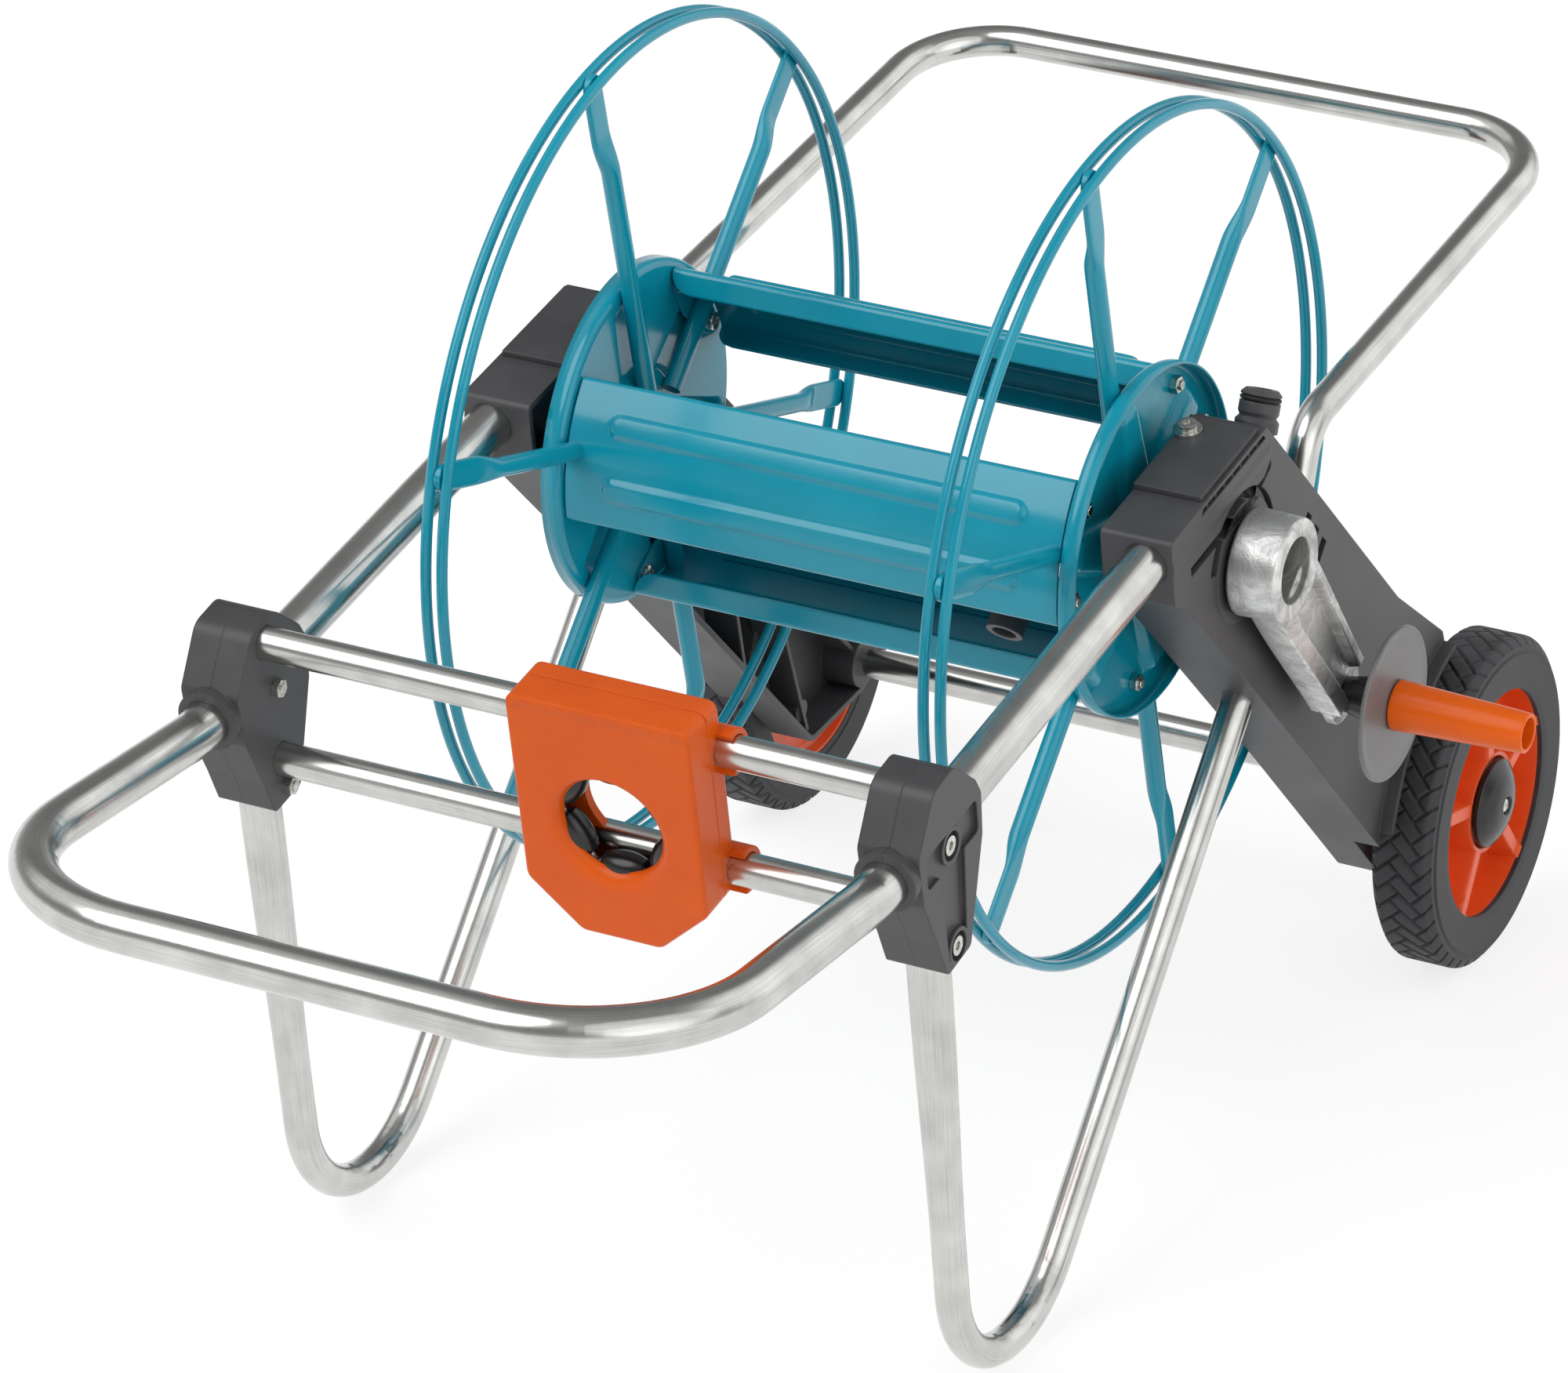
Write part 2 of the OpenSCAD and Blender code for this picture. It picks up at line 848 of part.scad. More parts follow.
module cover_plate() {
    color("dimgray")
        difference() {
            on_strand(0)
                translate([housing_inner, -42, box_top])
                    cube([housing_outer - 2 - housing_inner, 62, plate_thick]);
            on_strand(6)
                translate([cover_screw_x, 0, box_top - over])
                    cylinder(h = plate_thick + 2 * over, r = screw_radius + screw_gap);
        }
}

module left_cover_plate() {
    to_left()
        cover_plate();
}

module right_cover_plate() {
    cover_plate();
}

washer_height = 2;

module cover_washers() {
    color("silver")
        both_sides()
            on_strand(6)
                translate([cover_screw_x, 0, box_top + plate_thick])
                    difference() {
                        cylinder(h = washer_height, r = 7);
                        translate([0, 0, -over])
                            cylinder(h = washer_height + 2 * over, r = screw_radius + screw_gap);
                    }
}

module cover_screws() {
    color("silver")
        both_sides()
            on_strand(6)
                translate([cover_screw_x, 0, box_top + plate_thick + washer_height])
                    rotate([0, -90, 0])
                        pan_screw_x(-12, 0);
}

// ---------- Water inlet ----------
collar_z = 14;
nose_base = collar_z + 5;

module inlet_connector() {
    color("dimgray")
        at_inlet()
            rotate_extrude()
                polygon([
                    [5, -10], [inlet_pipe, -10], [inlet_pipe, collar_z - 3],
                    [nose_radius + 0.7, collar_z - 2],
                    [nose_radius + 0.7, collar_z + 3], [nose_radius - 1, nose_base],
                    [nose_radius, nose_base + 2], [nose_radius, nose_base + 7],
                    [nose_radius - groove_depth, nose_base + 7],
                    [nose_radius - groove_depth, nose_base + 10], [nose_radius, nose_base + 10],
                    [nose_radius, nose_base + nose_length - 6],
                    [nose_radius - 2, nose_base + nose_length - 4], [5, nose_base + nose_length - 4]
                ]);
}

module inlet_o_ring() {
    section = (groove_depth + ring_proud) / 2;
    color("black")
        at_inlet()
            translate([0, 0, nose_base + 8.5])
                rotate_extrude()
                    translate([nose_radius + ring_proud - section, 0])
                        circle(section);
}

module water_pipe() {
    color("dimgray")
        difference() {
            bar_between([strand_x, inlet_foot.x, inlet_foot.y] - [0, inlet_way.x, inlet_way.y] * 34,
                [strand_x, inlet_foot.x, inlet_foot.y] - [0, inlet_way.x, inlet_way.y] * 10, 5);
            rod_x(housing_inner, housing_outer, bearing_radius);
        }
}

// ---------- Wheels ----------
module tyre() {
    x0 = wheel_inner;
    x1 = wheel_outer;
    color("black")
        at_wheel()
            revolve_x()
                polygon(rounded([
                    [rim_radius, x0 + 2, 0], [wheel_radius - 6, x0, 4], [wheel_radius, x0 + 6, 4],
                    [wheel_radius, x1 - 6, 4], [wheel_radius - 6, x1, 4], [rim_radius, x1 - 2, 0]
                ], 3));
}

module rim() {
    hub_r = cap_radius + 2;
    color("orangered")
        at_wheel()
            difference() {
                union() {
                    ring_x(wheel_inner + 2, wheel_outer - 2, rim_radius, rim_radius - 4);
                    ring_x(wheel_inner + 10, wheel_inner + 14, rim_radius - 2, 10);
                    rod_x(hub_start, hub_end, 12);
                    ring_x(wheel_inner + 10, hub_end, hub_r, hub_r - 3);
                    for (i = [0:rim_ribs - 1])
                        around(i * 360 / rim_ribs + 12)
                            translate([wheel_inner + 12, 11, -9])
                                cube([18, rim_radius - 13, 18]);
                }
                rod_x(hub_start - over, hub_end + over, axle_rod + running_fit);
            }
}

module left_tyre() {
    to_left()
        tyre();
}

module right_tyre() {
    tyre();
}

module left_rim() {
    to_left()
        rim();
}

module right_rim() {
    rim();
}

module hub_cap() {
    color("dimgray")
        at_wheel()
            difference() {
                revolve_x()
                    polygon([[0, cap_start], [cap_radius, cap_start], [cap_radius, cap_start + 3],
                        [cap_radius * 0.9, cap_start + 5], [cap_radius * 0.7, cap_start + 7.2],
                        [cap_radius * 0.4, cap_start + 9], [cap_radius * 0.2, cap_end], [0, cap_end]]);
                rod_x(cap_start - over, cap_start + 2, axle_rod);
                rod_x(cap_end - 2.5, cap_end + over, 4);
                rod_x(cap_start, cap_end + over, 1.5);
            }
}

module left_hub_cap() {
    to_left()
        hub_cap();
}

module right_hub_cap() {
    hub_cap();
}

module cap_screws() {
    color("silver")
        both_sides()
            at_wheel() {
                rod_x(cap_start + 2, cap_end - 2.5, 1.5);
                rod_x(cap_end - 2.5, cap_end - 0.8, 3.4);
            }
}

// ---------- Reel ----------
module rings() {
    color("darkcyan")
        for (side = [-1, 1])
            translate([ring_offset + side * wire_half_spacing, 0, 0])
                rotate([0, 90, 0])
                    rotate_extrude($fn = 128)
                        translate([ring_radius, 0])
                            circle(wire_radius, $fn = 24);
}

blade_thick = 2 * (wire_half_spacing - wire_radius);
blade_start = ring_radius + 3 - blade_length;
blade_run = 14;

module spoke() {
    translate([spoke_offset, spoke_start, 0])
        rotate([-90, 0, 0])
            cylinder(h = blade_start - blade_run - spoke_start, r = spoke_radius, $fn = 32);
    hull() {
        translate([spoke_offset, blade_start - blade_run, 0])
            rotate([-90, 0, 0])
                cylinder(h = 0.1, r = spoke_radius, $fn = 32);
        translate([ring_offset - blade_thick / 2, blade_start, -blade_width / 2])
            cube([blade_thick, 0.1, blade_width]);
    }
    translate([ring_offset - blade_thick / 2, blade_start, -blade_width / 2])
        cube([blade_thick, blade_length - blade_width / 2, blade_width]);
    translate([0, ring_radius + 3 - blade_width / 2, 0])
        rod_x(ring_offset - blade_thick / 2, ring_offset + blade_thick / 2, blade_width / 2);
}

module spokes() {
    color("darkcyan")
        for (i = [0:spoke_count - 1])
            around(spoke_phase + i * 360 / spoke_count)
                spoke();
}

module left_rings() {
    to_left()
        rings();
}

module right_rings() {
    rings();
}

module left_spokes() {
    to_left()
        spokes();
}

module right_spokes() {
    spokes();
}

channel_radius = spoke_radius + 3;
channel_x = spoke_offset + 3;

// Pressed disc: flat face, rim turned outwards, a raised channel along each spoke
module flange() {
    lip_start = flange_radius - sheet;
    color("darkcyan")
        difference() {
            union() {
                revolve_x()
                    polygon(rounded([
                        [shaft_radius, flange_face, 0], [lip_start + sheet, flange_face, 3.5],
                        [lip_start + sheet, flange_back + flange_lip, 0],
                        [lip_start, flange_back + flange_lip, 0], [lip_start, flange_back, 2.3],
                        [shaft_radius, flange_back, 0]
                    ], 4));
                for (i = [0:spoke_count - 1])
                    around(spoke_phase + i * 360 / spoke_count)
                        intersection() {
                            translate([channel_x, bush_radius + 3, 0])
                                rotate([-90, 0, 0])
                                    cylinder(h = stave_radius - bush_radius - 9, r = channel_radius);
                            translate([flange_face, 0, -20])
                                cube([20, flange_radius, 40]);
                        }
            }
            for (i = [0:spoke_count - 1])
                around(spoke_phase + i * 360 / spoke_count)
                    translate([channel_x, bush_radius + 4, 0])
                        rotate([-90, 0, 0])
                            cylinder(h = stave_radius - bush_radius - 11, r = channel_radius - sheet);
            stave_screw_holes();
        }
}

module left_flange() {
    to_left()
        flange();
}

module right_flange() {
    flange();
}

module at_stave_screws() {
    for (i = [0:stave_count - 1])
        for (side = [-1, 1])
            around(stave_phase + i * 360 / stave_count + side * stave_screw_angle)
                translate([0, stave_screw_r, 0])
                    children();
}

module stave_screw_holes() {
    at_stave_screws()
        rod_x(stave_end - over, flange_back + over, screw_radius + screw_gap);
}

module stave_sector(half_angle) {
    reach = stave_radius + 10;
    polygon([[0, 0], [reach, -reach * tan(half_angle)], [reach, reach * tan(half_angle)]]);
}

module stave_section() {
    intersection() {
        difference() {
            circle(stave_radius);
            circle(stave_radius - sheet);
        }
        stave_sector(stave_half_angle);
    }
    for (side = [-1, 1])
        rotate(side * stave_half_angle)
            translate([stave_radius - stave_lip, side > 0 ? -sheet : 0])
                square([stave_lip - 0.3, sheet]);
}

module stave_rib_rod(radius) {
    for (side = [-1, 1])
        around(side * stave_rib_angle)
            translate([0, stave_radius - stave_rib + 2, 0]) {
                rod_x(stave_rib_inset - stave_end, stave_end - stave_rib_inset, radius);
                for (end = [-1, 1])
                    translate([end * (stave_end - stave_rib_inset), 0, 0])
                        sphere(radius);
            }
}

module stave() {
    notch = spoke_radius + 1;
    color("darkcyan")
        difference() {
            union() {
                across(-stave_end, stave_end)
                    stave_section();
                stave_rib_rod(stave_rib);
                for (end = [-1, 1])
                    across(end > 0 ? stave_end : -flange_face, end > 0 ? flange_face : -stave_end)
                        intersection() {
                            difference() {
                                circle(stave_radius);
                                circle(stave_radius - tab_depth);
                            }
                            stave_sector(stave_half_angle - 4);
                        }
            }
            stave_rib_rod(stave_rib - sheet);
            for (end = [-1, 1])
                translate([end * (flange_face + spoke_offset - spoke_radius - 1) / 2, stave_radius, 0])
                    cube([flange_face - spoke_offset + spoke_radius + 1 + 0.02, 60, 2 * notch],
                        center = true);
            both_sides()
                for (side = [-1, 1])
                    around(side * stave_screw_angle)
                        translate([0, stave_screw_r, 0])
                            rod_x(stave_end - over, flange_face + over, screw_radius + screw_gap);
        }
}

module front_stave() {
    around(stave_phase + 120)
        stave();
}

module rear_stave() {
    around(stave_phase)
        stave();
}

module bottom_stave() {
    around(stave_phase + 240)
        stave();
}

module stave_screws() {
    color("silver")
        both_sides()
            at_stave_screws() {
                rod_x(stave_end - head_height, stave_end, head_radius);
                rod_x(stave_end, flange_back + nut_height + 1.5, screw_radius);
            }
}

module stave_nuts() {
    color("silver")
        both_sides()
            at_stave_screws()
                hex_nut_x(flange_back);
}

outlet_angle = stave_phase + 180;

module at_outlet() {
    around(outlet_angle)
        translate([outlet_offset, 0, 0])
            rotate([-90, 0, 0])
                children();
}

module reel_shaft() {
    color("dimgray")
        difference() {
            ring_x(-housing_outer - 1, boss_start, shaft_radius, shaft_bore);
            at_outlet()
                cylinder(h = shaft_radius + 5, r = outlet_radius - 3);
        }
}

module hose_outlet() {
    color("dimgray")
        difference() {
            at_outlet()
                rotate_extrude()
                    polygon([
                        [outlet_radius - 3, shaft_bore], [outlet_radius + 3, shaft_bore],
                        [outlet_radius + 3, 24], [outlet_radius + 1.5, 25],
                        [outlet_radius + 1.5, 48], [outlet_radius, 49],
                        [outlet_radius, 60], [outlet_radius - 3, 60]
                    ]);
            rod_x(0, housing_inner, shaft_radius);
        }
}

module right_bush() {
    color("dimgray")
        ring_x(flange_back, bush_end, bush_radius, shaft_radius);
}

module left_bush() {
    to_left()
        right_bush();
}

module shaft_cap() {
    color("dimgray")
        to_left() {
            revolve_x()
                polygon([[0, housing_outer - 9], [shaft_bore, housing_outer - 9],
                    [shaft_bore, housing_outer + 1], [shaft_radius, housing_outer + 1],
                    [shaft_radius, housing_outer + 1 + end_gap], [bush_radius, housing_outer + 1 + end_gap],
                    [bush_radius, housing_outer + 4], [bush_radius - 3, housing_outer + 6],
                    [0, housing_outer + 7]]);
        }
}

// ---------- Crank ----------
arm_start = boss_start + 3.5;
arm_end = boss_end - 4.5;

module at_grip() {
    around(crank_angle)
        translate([0, crank_radius, 0])
            children();
}

module crank() {
    tip = arm_width * 0.8;
    reach = crank_radius + pin_radius + 8;
    web_end = reach - 24;
    low = -arm_width / 2 + rail_wide;
    high = arm_width / 2 - rail_thin;
    color("gainsboro")
        difference() {
            union() {
                rod_x(boss_start, boss_end, boss_radius);
                around(crank_angle)
                    across(arm_start, arm_end)
                        polygon(rounded([[10, -arm_width / 2, 0], [reach, -tip / 2, 4], [reach, tip / 2, 4],
                            [10, arm_width / 2, 0]]));
            }
            rod_x(boss_start - over, boss_end + over, shaft_bore);
            around(crank_angle)
                across(arm_end - rail_thin, boss_end + over)
                    polygon(rounded([[boss_radius + 7, low, 2], [web_end, low + (arm_width - tip) / 2, 2],
                        [web_end, high - (arm_width - tip) / 2, 2], [boss_radius + 7, high, 2]]));
            at_grip()
                rod_x(arm_start - over, boss_end + over, pin_radius);
        }
}

module crank_collar() {
    color("dimgray")
        at_grip()
            ring_x(arm_end, disc_start, 13, pin_radius);
}

module hand_guard() {
    x0 = disc_start;
    color("gray")
        at_grip()
            revolve_x()
                polygon([[pin_radius, x0], [guard_disc - 3, x0], [guard_disc, x0 + 1], [guard_disc, x0 + 2],
                    [guard_disc - 1, x0 + disc_thick], [pin_radius, x0 + disc_thick]]);
}

grip_socket = 12;

module grip_pin() {
    seat = grip_end - grip_socket;
    color("silver")
        at_grip() {
            rod_x(arm_start, seat + end_gap, pin_radius);
            difference() {
                rod_x(seat + end_gap, seat + end_gap + 4, pin_radius + 1.8);
                rod_x(seat + end_gap + 2, seat + end_gap + 4 + over, 2.6);
            }
        }
}

module grip() {
    color("orangered")
        at_grip()
            difference() {
                revolve_x()
                    polygon(rounded([
                        [0, grip_start, 0], [grip_radius + 0.8, grip_start, 1],
                        [grip_radius, grip_start + 4, 2],
                        [grip_radius - 2, grip_end, 1.5], [0, grip_end, 0]
                    ], 3));
                rod_x(grip_start - over, grip_end, pin_radius + running_fit);
                rod_x(grip_end - grip_socket, grip_end + over, grip_radius - 4);
            }
}

// ---------- Hose guide ----------
guide_chamfer = [26, 24];

function guide_outline(by) =
    let (half = guide_width / 2 - by, low = -guide_bottom + by, high = guide_top - by)
    [[-half, high, 5], [-half, low + guide_chamfer.y, 6], [-half + guide_chamfer.x, low, 6],
        [half - guide_chamfer.x, low, 6], [half, low + guide_chamfer.y, 6], [half, high, 5]];

// Extrudes an [x, w] outline of the guide from one u to another
module guide_slab(u0, u1) {
    on_strand(clamp_u)
        translate([guide_x, u1, 0])
            rotate([90, 0, 0])
                linear_extrude(u1 - u0)
                    children();
}

module at_mouth(u) {
    on_strand(clamp_u)
        translate([guide_x, u, -mouth_drop])
            rotate([-90, 0, 0])
                children();
}

module guide_bar_channel(radius) {
    crossbar(strand_x, upper_bar_w, radius);
    crossbar(strand_x, -lower_bar_w, radius);
}

roller_cavity = roller_ring + roller_radius + 1.5;
post_radius = 4.5;
post_ring = roller_ring / cos(30);
front_skin = 3;

module at_roller(i) {
    at_mouth(roller_u)
        rotate([0, 0, 60 * i + 30])
            translate([roller_ring, 0, 0])
                rotate([90, 0, 0])
                    children();
}

module mouth_flare(u0, depth) {
    at_mouth(u0)
        rotate_extrude()
            polygon([[0, -over], [mouth_radius + 5, -over], [mouth_radius + 5, 0],
                [mouth_radius + 2, 1], [mouth_radius + 0.6, depth - 1.2], [mouth_radius, depth],
                [mouth_radius, depth + 3], [0, depth + 3]]);
}

module guide_front() {
    color("dimgray")
        difference() {
            guide_slab(-guide_front_u, -guide_seam_u)
                polygon(rounded(guide_outline(0)));
            at_mouth(-guide_front_u + front_skin)
                cylinder(h = guide_front_u, r = roller_cavity);
            mouth_flare(-guide_front_u, 4);
            // Hollow above the mouth
            guide_slab(-guide_front_u + front_skin, 0)
                translate([-guide_width / 2 + 4, guide_top - 19])
                    square([guide_width - 8, 15]);
        }
    color("dimgray")
        difference() {
            for (i = [0:5])
                at_mouth(-guide_front_u + front_skin)
                    rotate([0, 0, 60 * i])
                        translate([post_ring + 2, 0, 0])
                            cylinder(h = guide_front_u - front_skin - guide_seam_u, r = post_radius);
            roller_pin_rods(pin_rod);
        }
}

pin_rod = 1.5;

module roller_pin_rods(radius) {
    for (i = [0:5])
        at_roller(i)
            translate([0, 0, -roller_ring * tan(30) - 1])
                cylinder(h = 2 * roller_ring * tan(30) + 2, r = radius);
}

module guide_rear() {
    color("dimgray")
        difference() {
            union() {
                guide_slab(-guide_seam_u, 0)
                    polygon(rounded(guide_outline(0)));
                for (w = [upper_bar_w, -lower_bar_w])
                    for (side = [-1, 1])
                        on_strand(clamp_u)
                            translate([guide_x + side * (hook_reach - hook_width / 2), bar_u, w])
                                rod_x(-hook_width / 2, hook_width / 2, thin_tube + sliding_gap + hook_wall);
            }
            guide_bar_channel(thin_tube + sliding_gap);
            at_mouth(-guide_seam_u - over)
                cylinder(h = 30, r = mouth_radius);
            at_mouth(-guide_seam_u - over)
                cylinder(h = 5, r = roller_cavity);
            // Keeps the hooks clear of the front shell
            guide_slab(-guide_front_u, -guide_seam_u)
                square(4 * guide_width, center = true);
        }
}

module roller_pins() {
    color("silver")
        roller_pin_rods(pin_rod);
}

module roller(i) {
    half = roller_length / 2;
    color("black")
        at_roller(i)
            rotate_extrude()
                polygon([
                    [pin_rod + running_fit, -half], [roller_radius - 2.2, -half],
                    [roller_radius - 1, -half * 0.6], [roller_radius - 0.25, -half * 0.3],
                    [roller_radius, 0], [roller_radius - 0.25, half * 0.3],
                    [roller_radius - 1, half * 0.6], [roller_radius - 2.2, half],
                    [pin_rod + running_fit, half]
                ]);
}

from_reel() {
    front_loop();
    left_leg();
    right_leg();
    handle();
    upper_crossbar();
    lower_crossbar();
    axle_tube();
    axle_rod_bar();
    left_clamp_inner();
    left_clamp_outer();
    right_clamp_inner();
    right_clamp_outer();
    clamp_screws();
    clamp_nuts();
    left_housing();
    right_housing();
    left_cover_plate();
    right_cover_plate();
    cover_washers();
    cover_screws();
    inlet_connector();
    inlet_o_ring();
    water_pipe();
    left_hub_cap();
    right_hub_cap();
    cap_screws();
    left_rings();
    right_rings();
    left_spokes();
    right_spokes();
    left_flange();
    right_flange();
    front_stave();
    rear_stave();
    bottom_stave();
    stave_screws();
    stave_nuts();
    reel_shaft();
    left_bush();
    right_bush();
    shaft_cap();
    hose_outlet();
    crank();
    crank_collar();
    hand_guard();
    grip_pin();
    grip();
    left_tyre();
    right_tyre();
    left_rim();
    right_rim();
    guide_front();
    guide_rear();
    roller_pins();
    roller(0);  // roller_1
    roller(1);  // roller_2
    roller(2);  // roller_3
    roller(3);  // roller_4
    roller(4);  // roller_5
    roller(5);  // roller_6
}
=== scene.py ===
"""Looks of a garden hose reel cart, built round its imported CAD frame.

Shapes are worked out in the reel's own frame: millimetres, origin at the middle of the
reel's shaft, X along the shaft towards the crank, Y towards the pull handle, Z up.
"""

from __future__ import annotations

import json
import logging
import math
from collections.abc import Sequence
from dataclasses import dataclass, field
from enum import Enum

import bmesh
import bpy
import numpy as np
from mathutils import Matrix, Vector

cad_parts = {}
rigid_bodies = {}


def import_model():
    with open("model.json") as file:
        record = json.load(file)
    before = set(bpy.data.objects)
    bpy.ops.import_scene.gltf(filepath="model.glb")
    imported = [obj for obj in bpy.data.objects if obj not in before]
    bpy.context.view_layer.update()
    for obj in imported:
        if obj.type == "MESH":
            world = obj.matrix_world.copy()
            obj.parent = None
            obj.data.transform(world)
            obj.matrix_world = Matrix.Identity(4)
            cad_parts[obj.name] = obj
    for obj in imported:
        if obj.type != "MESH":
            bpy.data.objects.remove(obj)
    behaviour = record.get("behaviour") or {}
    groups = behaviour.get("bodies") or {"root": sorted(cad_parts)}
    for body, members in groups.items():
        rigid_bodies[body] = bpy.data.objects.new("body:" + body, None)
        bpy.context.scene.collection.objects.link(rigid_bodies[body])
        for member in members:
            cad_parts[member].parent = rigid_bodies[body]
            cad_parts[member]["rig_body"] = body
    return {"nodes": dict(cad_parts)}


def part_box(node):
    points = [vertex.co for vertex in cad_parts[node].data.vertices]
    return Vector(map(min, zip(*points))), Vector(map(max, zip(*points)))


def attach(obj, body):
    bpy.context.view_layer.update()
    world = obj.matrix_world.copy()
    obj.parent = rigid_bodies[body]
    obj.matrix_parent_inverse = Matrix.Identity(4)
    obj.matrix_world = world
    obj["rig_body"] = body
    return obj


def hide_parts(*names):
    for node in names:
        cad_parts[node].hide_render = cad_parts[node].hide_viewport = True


LOG = logging.getLogger("hose_reel_cart")
TAU = 2.0 * math.pi
# Largest turn between two points of an arc
ARC_STEP = math.radians(5.0)
# Shortest piece, in mm, that a divided line keeps
SHORTEST = 0.02
# Smallest cosine used where an outline is spread round a sharp corner
MITRE_LIMIT = 0.4


class Slot(Enum):
    """Material slots of the record."""

    TEAL = "teal_coating"
    TUBE = "galvanised_tube"
    GREY = "grey_plastic"
    ORANGE = "orange_plastic"
    RIM = "rim_orange"
    TYRE = "tyre_rubber"
    CAST = "cast_metal"
    DISC = "disc_grey"
    BLACK = "black_plastic"
    RUBBER = "black_rubber"
    ZINC = "zinc_fasteners"


class Side(Enum):
    """The two sides of the cart; the value is the sign of X."""

    LEFT = -1
    RIGHT = 1


# ---------- Numbers ----------


def unit(v: np.ndarray) -> np.ndarray:
    """Vectors of the last axis scaled to length one."""
    return v / np.linalg.norm(v, axis=-1, keepdims=True)


def vec(*values: float) -> np.ndarray:
    """A float array of the given numbers."""
    return np.array(values, float)


def ease(value: np.ndarray, low: float, high: float) -> np.ndarray:
    """Rises from 0 at low to 1 at high as 3t^2 - 2t^3.

    Args:
        value: Where to evaluate.
        low: Value that gives 0.
        high: Value that gives 1.

    Returns:
        The eased step, of value's shape.
    """
    t = np.clip((value - low) / (high - low), 0.0, 1.0)
    return t * t * (3.0 - 2.0 * t)


def turn_about_x(points: np.ndarray, degrees: float) -> np.ndarray:
    """Points turned about the X axis, Y towards Z.

    Args:
        points: Array of any shape whose last axis is x, y, z.
        degrees: Angle of the turn.

    Returns:
        The turned points.
    """
    c, s = math.cos(math.radians(degrees)), math.sin(math.radians(degrees))
    return points @ np.array([[1, 0, 0], [0, c, s], [0, -s, c]], float)


def full_turn(steps: int) -> np.ndarray:
    """Angles of evenly spaced steps round a circle."""
    return np.arange(steps) / steps * TAU


def around_x(x: np.ndarray, radius: np.ndarray, turn: np.ndarray) -> np.ndarray:
    """Points (x, r cos t, r sin t) for arrays that broadcast together."""
    return np.stack(np.broadcast_arrays(x, radius * np.cos(turn), radius * np.sin(turn)), axis=-1)


def rounded_path(corners: np.ndarray, radii: Sequence[float], closed: bool = False) -> np.ndarray:
    """Line through corners in which each corner is a circular arc tangent to both its sides.

    The arc's points are the spherical mean of the two radii that end it.

    Args:
        corners: Corner points, one per row, in 2 or 3 dimensions.
        radii: Radius at each inner corner, or at every corner of a closed line; 0 keeps it sharp.
        closed: Whether the last corner joins the first.

    Returns:
        Points of the line, without a repeated end on a closed line.
    """
    n = len(corners)
    inner = range(n) if closed else range(1, n - 1)
    parts = [] if closed else [corners[:1]]
    for i, radius in zip(inner, radii):
        a, b, c = corners[i - 1], corners[i], corners[(i + 1) % n]
        if radius <= 0:
            parts.append(b[None])
            continue
        d, e = unit(b - a), unit(c - b)
        turn = math.acos(float(np.clip(d @ e, -1, 1)))
        centre = b + unit(e - d) * radius / math.cos(turn / 2)
        cut = radius * math.tan(turn / 2)
        k = np.linspace(0, 1, max(3, math.ceil(turn / ARC_STEP)) + 1)[:, None]
        start, end = b - d * cut - centre, b + e * cut - centre
        parts.append(centre + (start * np.sin(turn * (1 - k)) + end * np.sin(turn * k)) / math.sin(turn))
    if not closed:
        parts.append(corners[-1:])
    return np.vstack(parts)


def divided(path: np.ndarray, step: float) -> np.ndarray:
    """A line with extra points, so that no piece of it is much longer than step.

    Args:
        path: Points of the line.
        step: Longest piece wanted, in mm.

    Returns:
        The old points and the new ones, in order.
    """
    s = np.concatenate([[0], np.cumsum(np.linalg.norm(np.diff(path, axis=0), axis=1))])
    even = np.linspace(0, s[-1], math.ceil(s[-1] / step) + 1)
    every = np.unique(np.round(np.concatenate([s, even]), 4))
    every = every[np.concatenate([[True], np.diff(every) > SHORTEST])]
    return np.stack([np.interp(every, s, path[:, k]) for k in range(path.shape[1])], axis=1)


def oval(width: np.ndarray, height: np.ndarray, power: np.ndarray, sides: int) -> np.ndarray:
    """Superellipse sections: |x/a|^n + |y/b|^n = 1, a circle at n = 2 and nearly a box at n = 8.

    Args:
        width: Half width a, one per section.
        height: Half height b, one per section.
        power: Exponent n, one per section.
        sides: Points round each section.

    Returns:
        Array (sections, sides, 2).
    """
    t = full_turn(sides)
    c, s = np.cos(t)[None], np.sin(t)[None]
    n = 2.0 / np.asarray(power, float)[:, None]
    x = np.sign(c) * np.abs(c) ** n * np.asarray(width, float)[:, None]
    y = np.sign(s) * np.abs(s) ** n * np.asarray(height, float)[:, None]
    return np.stack([x, y], axis=-1)


# ---------- Surfaces ----------


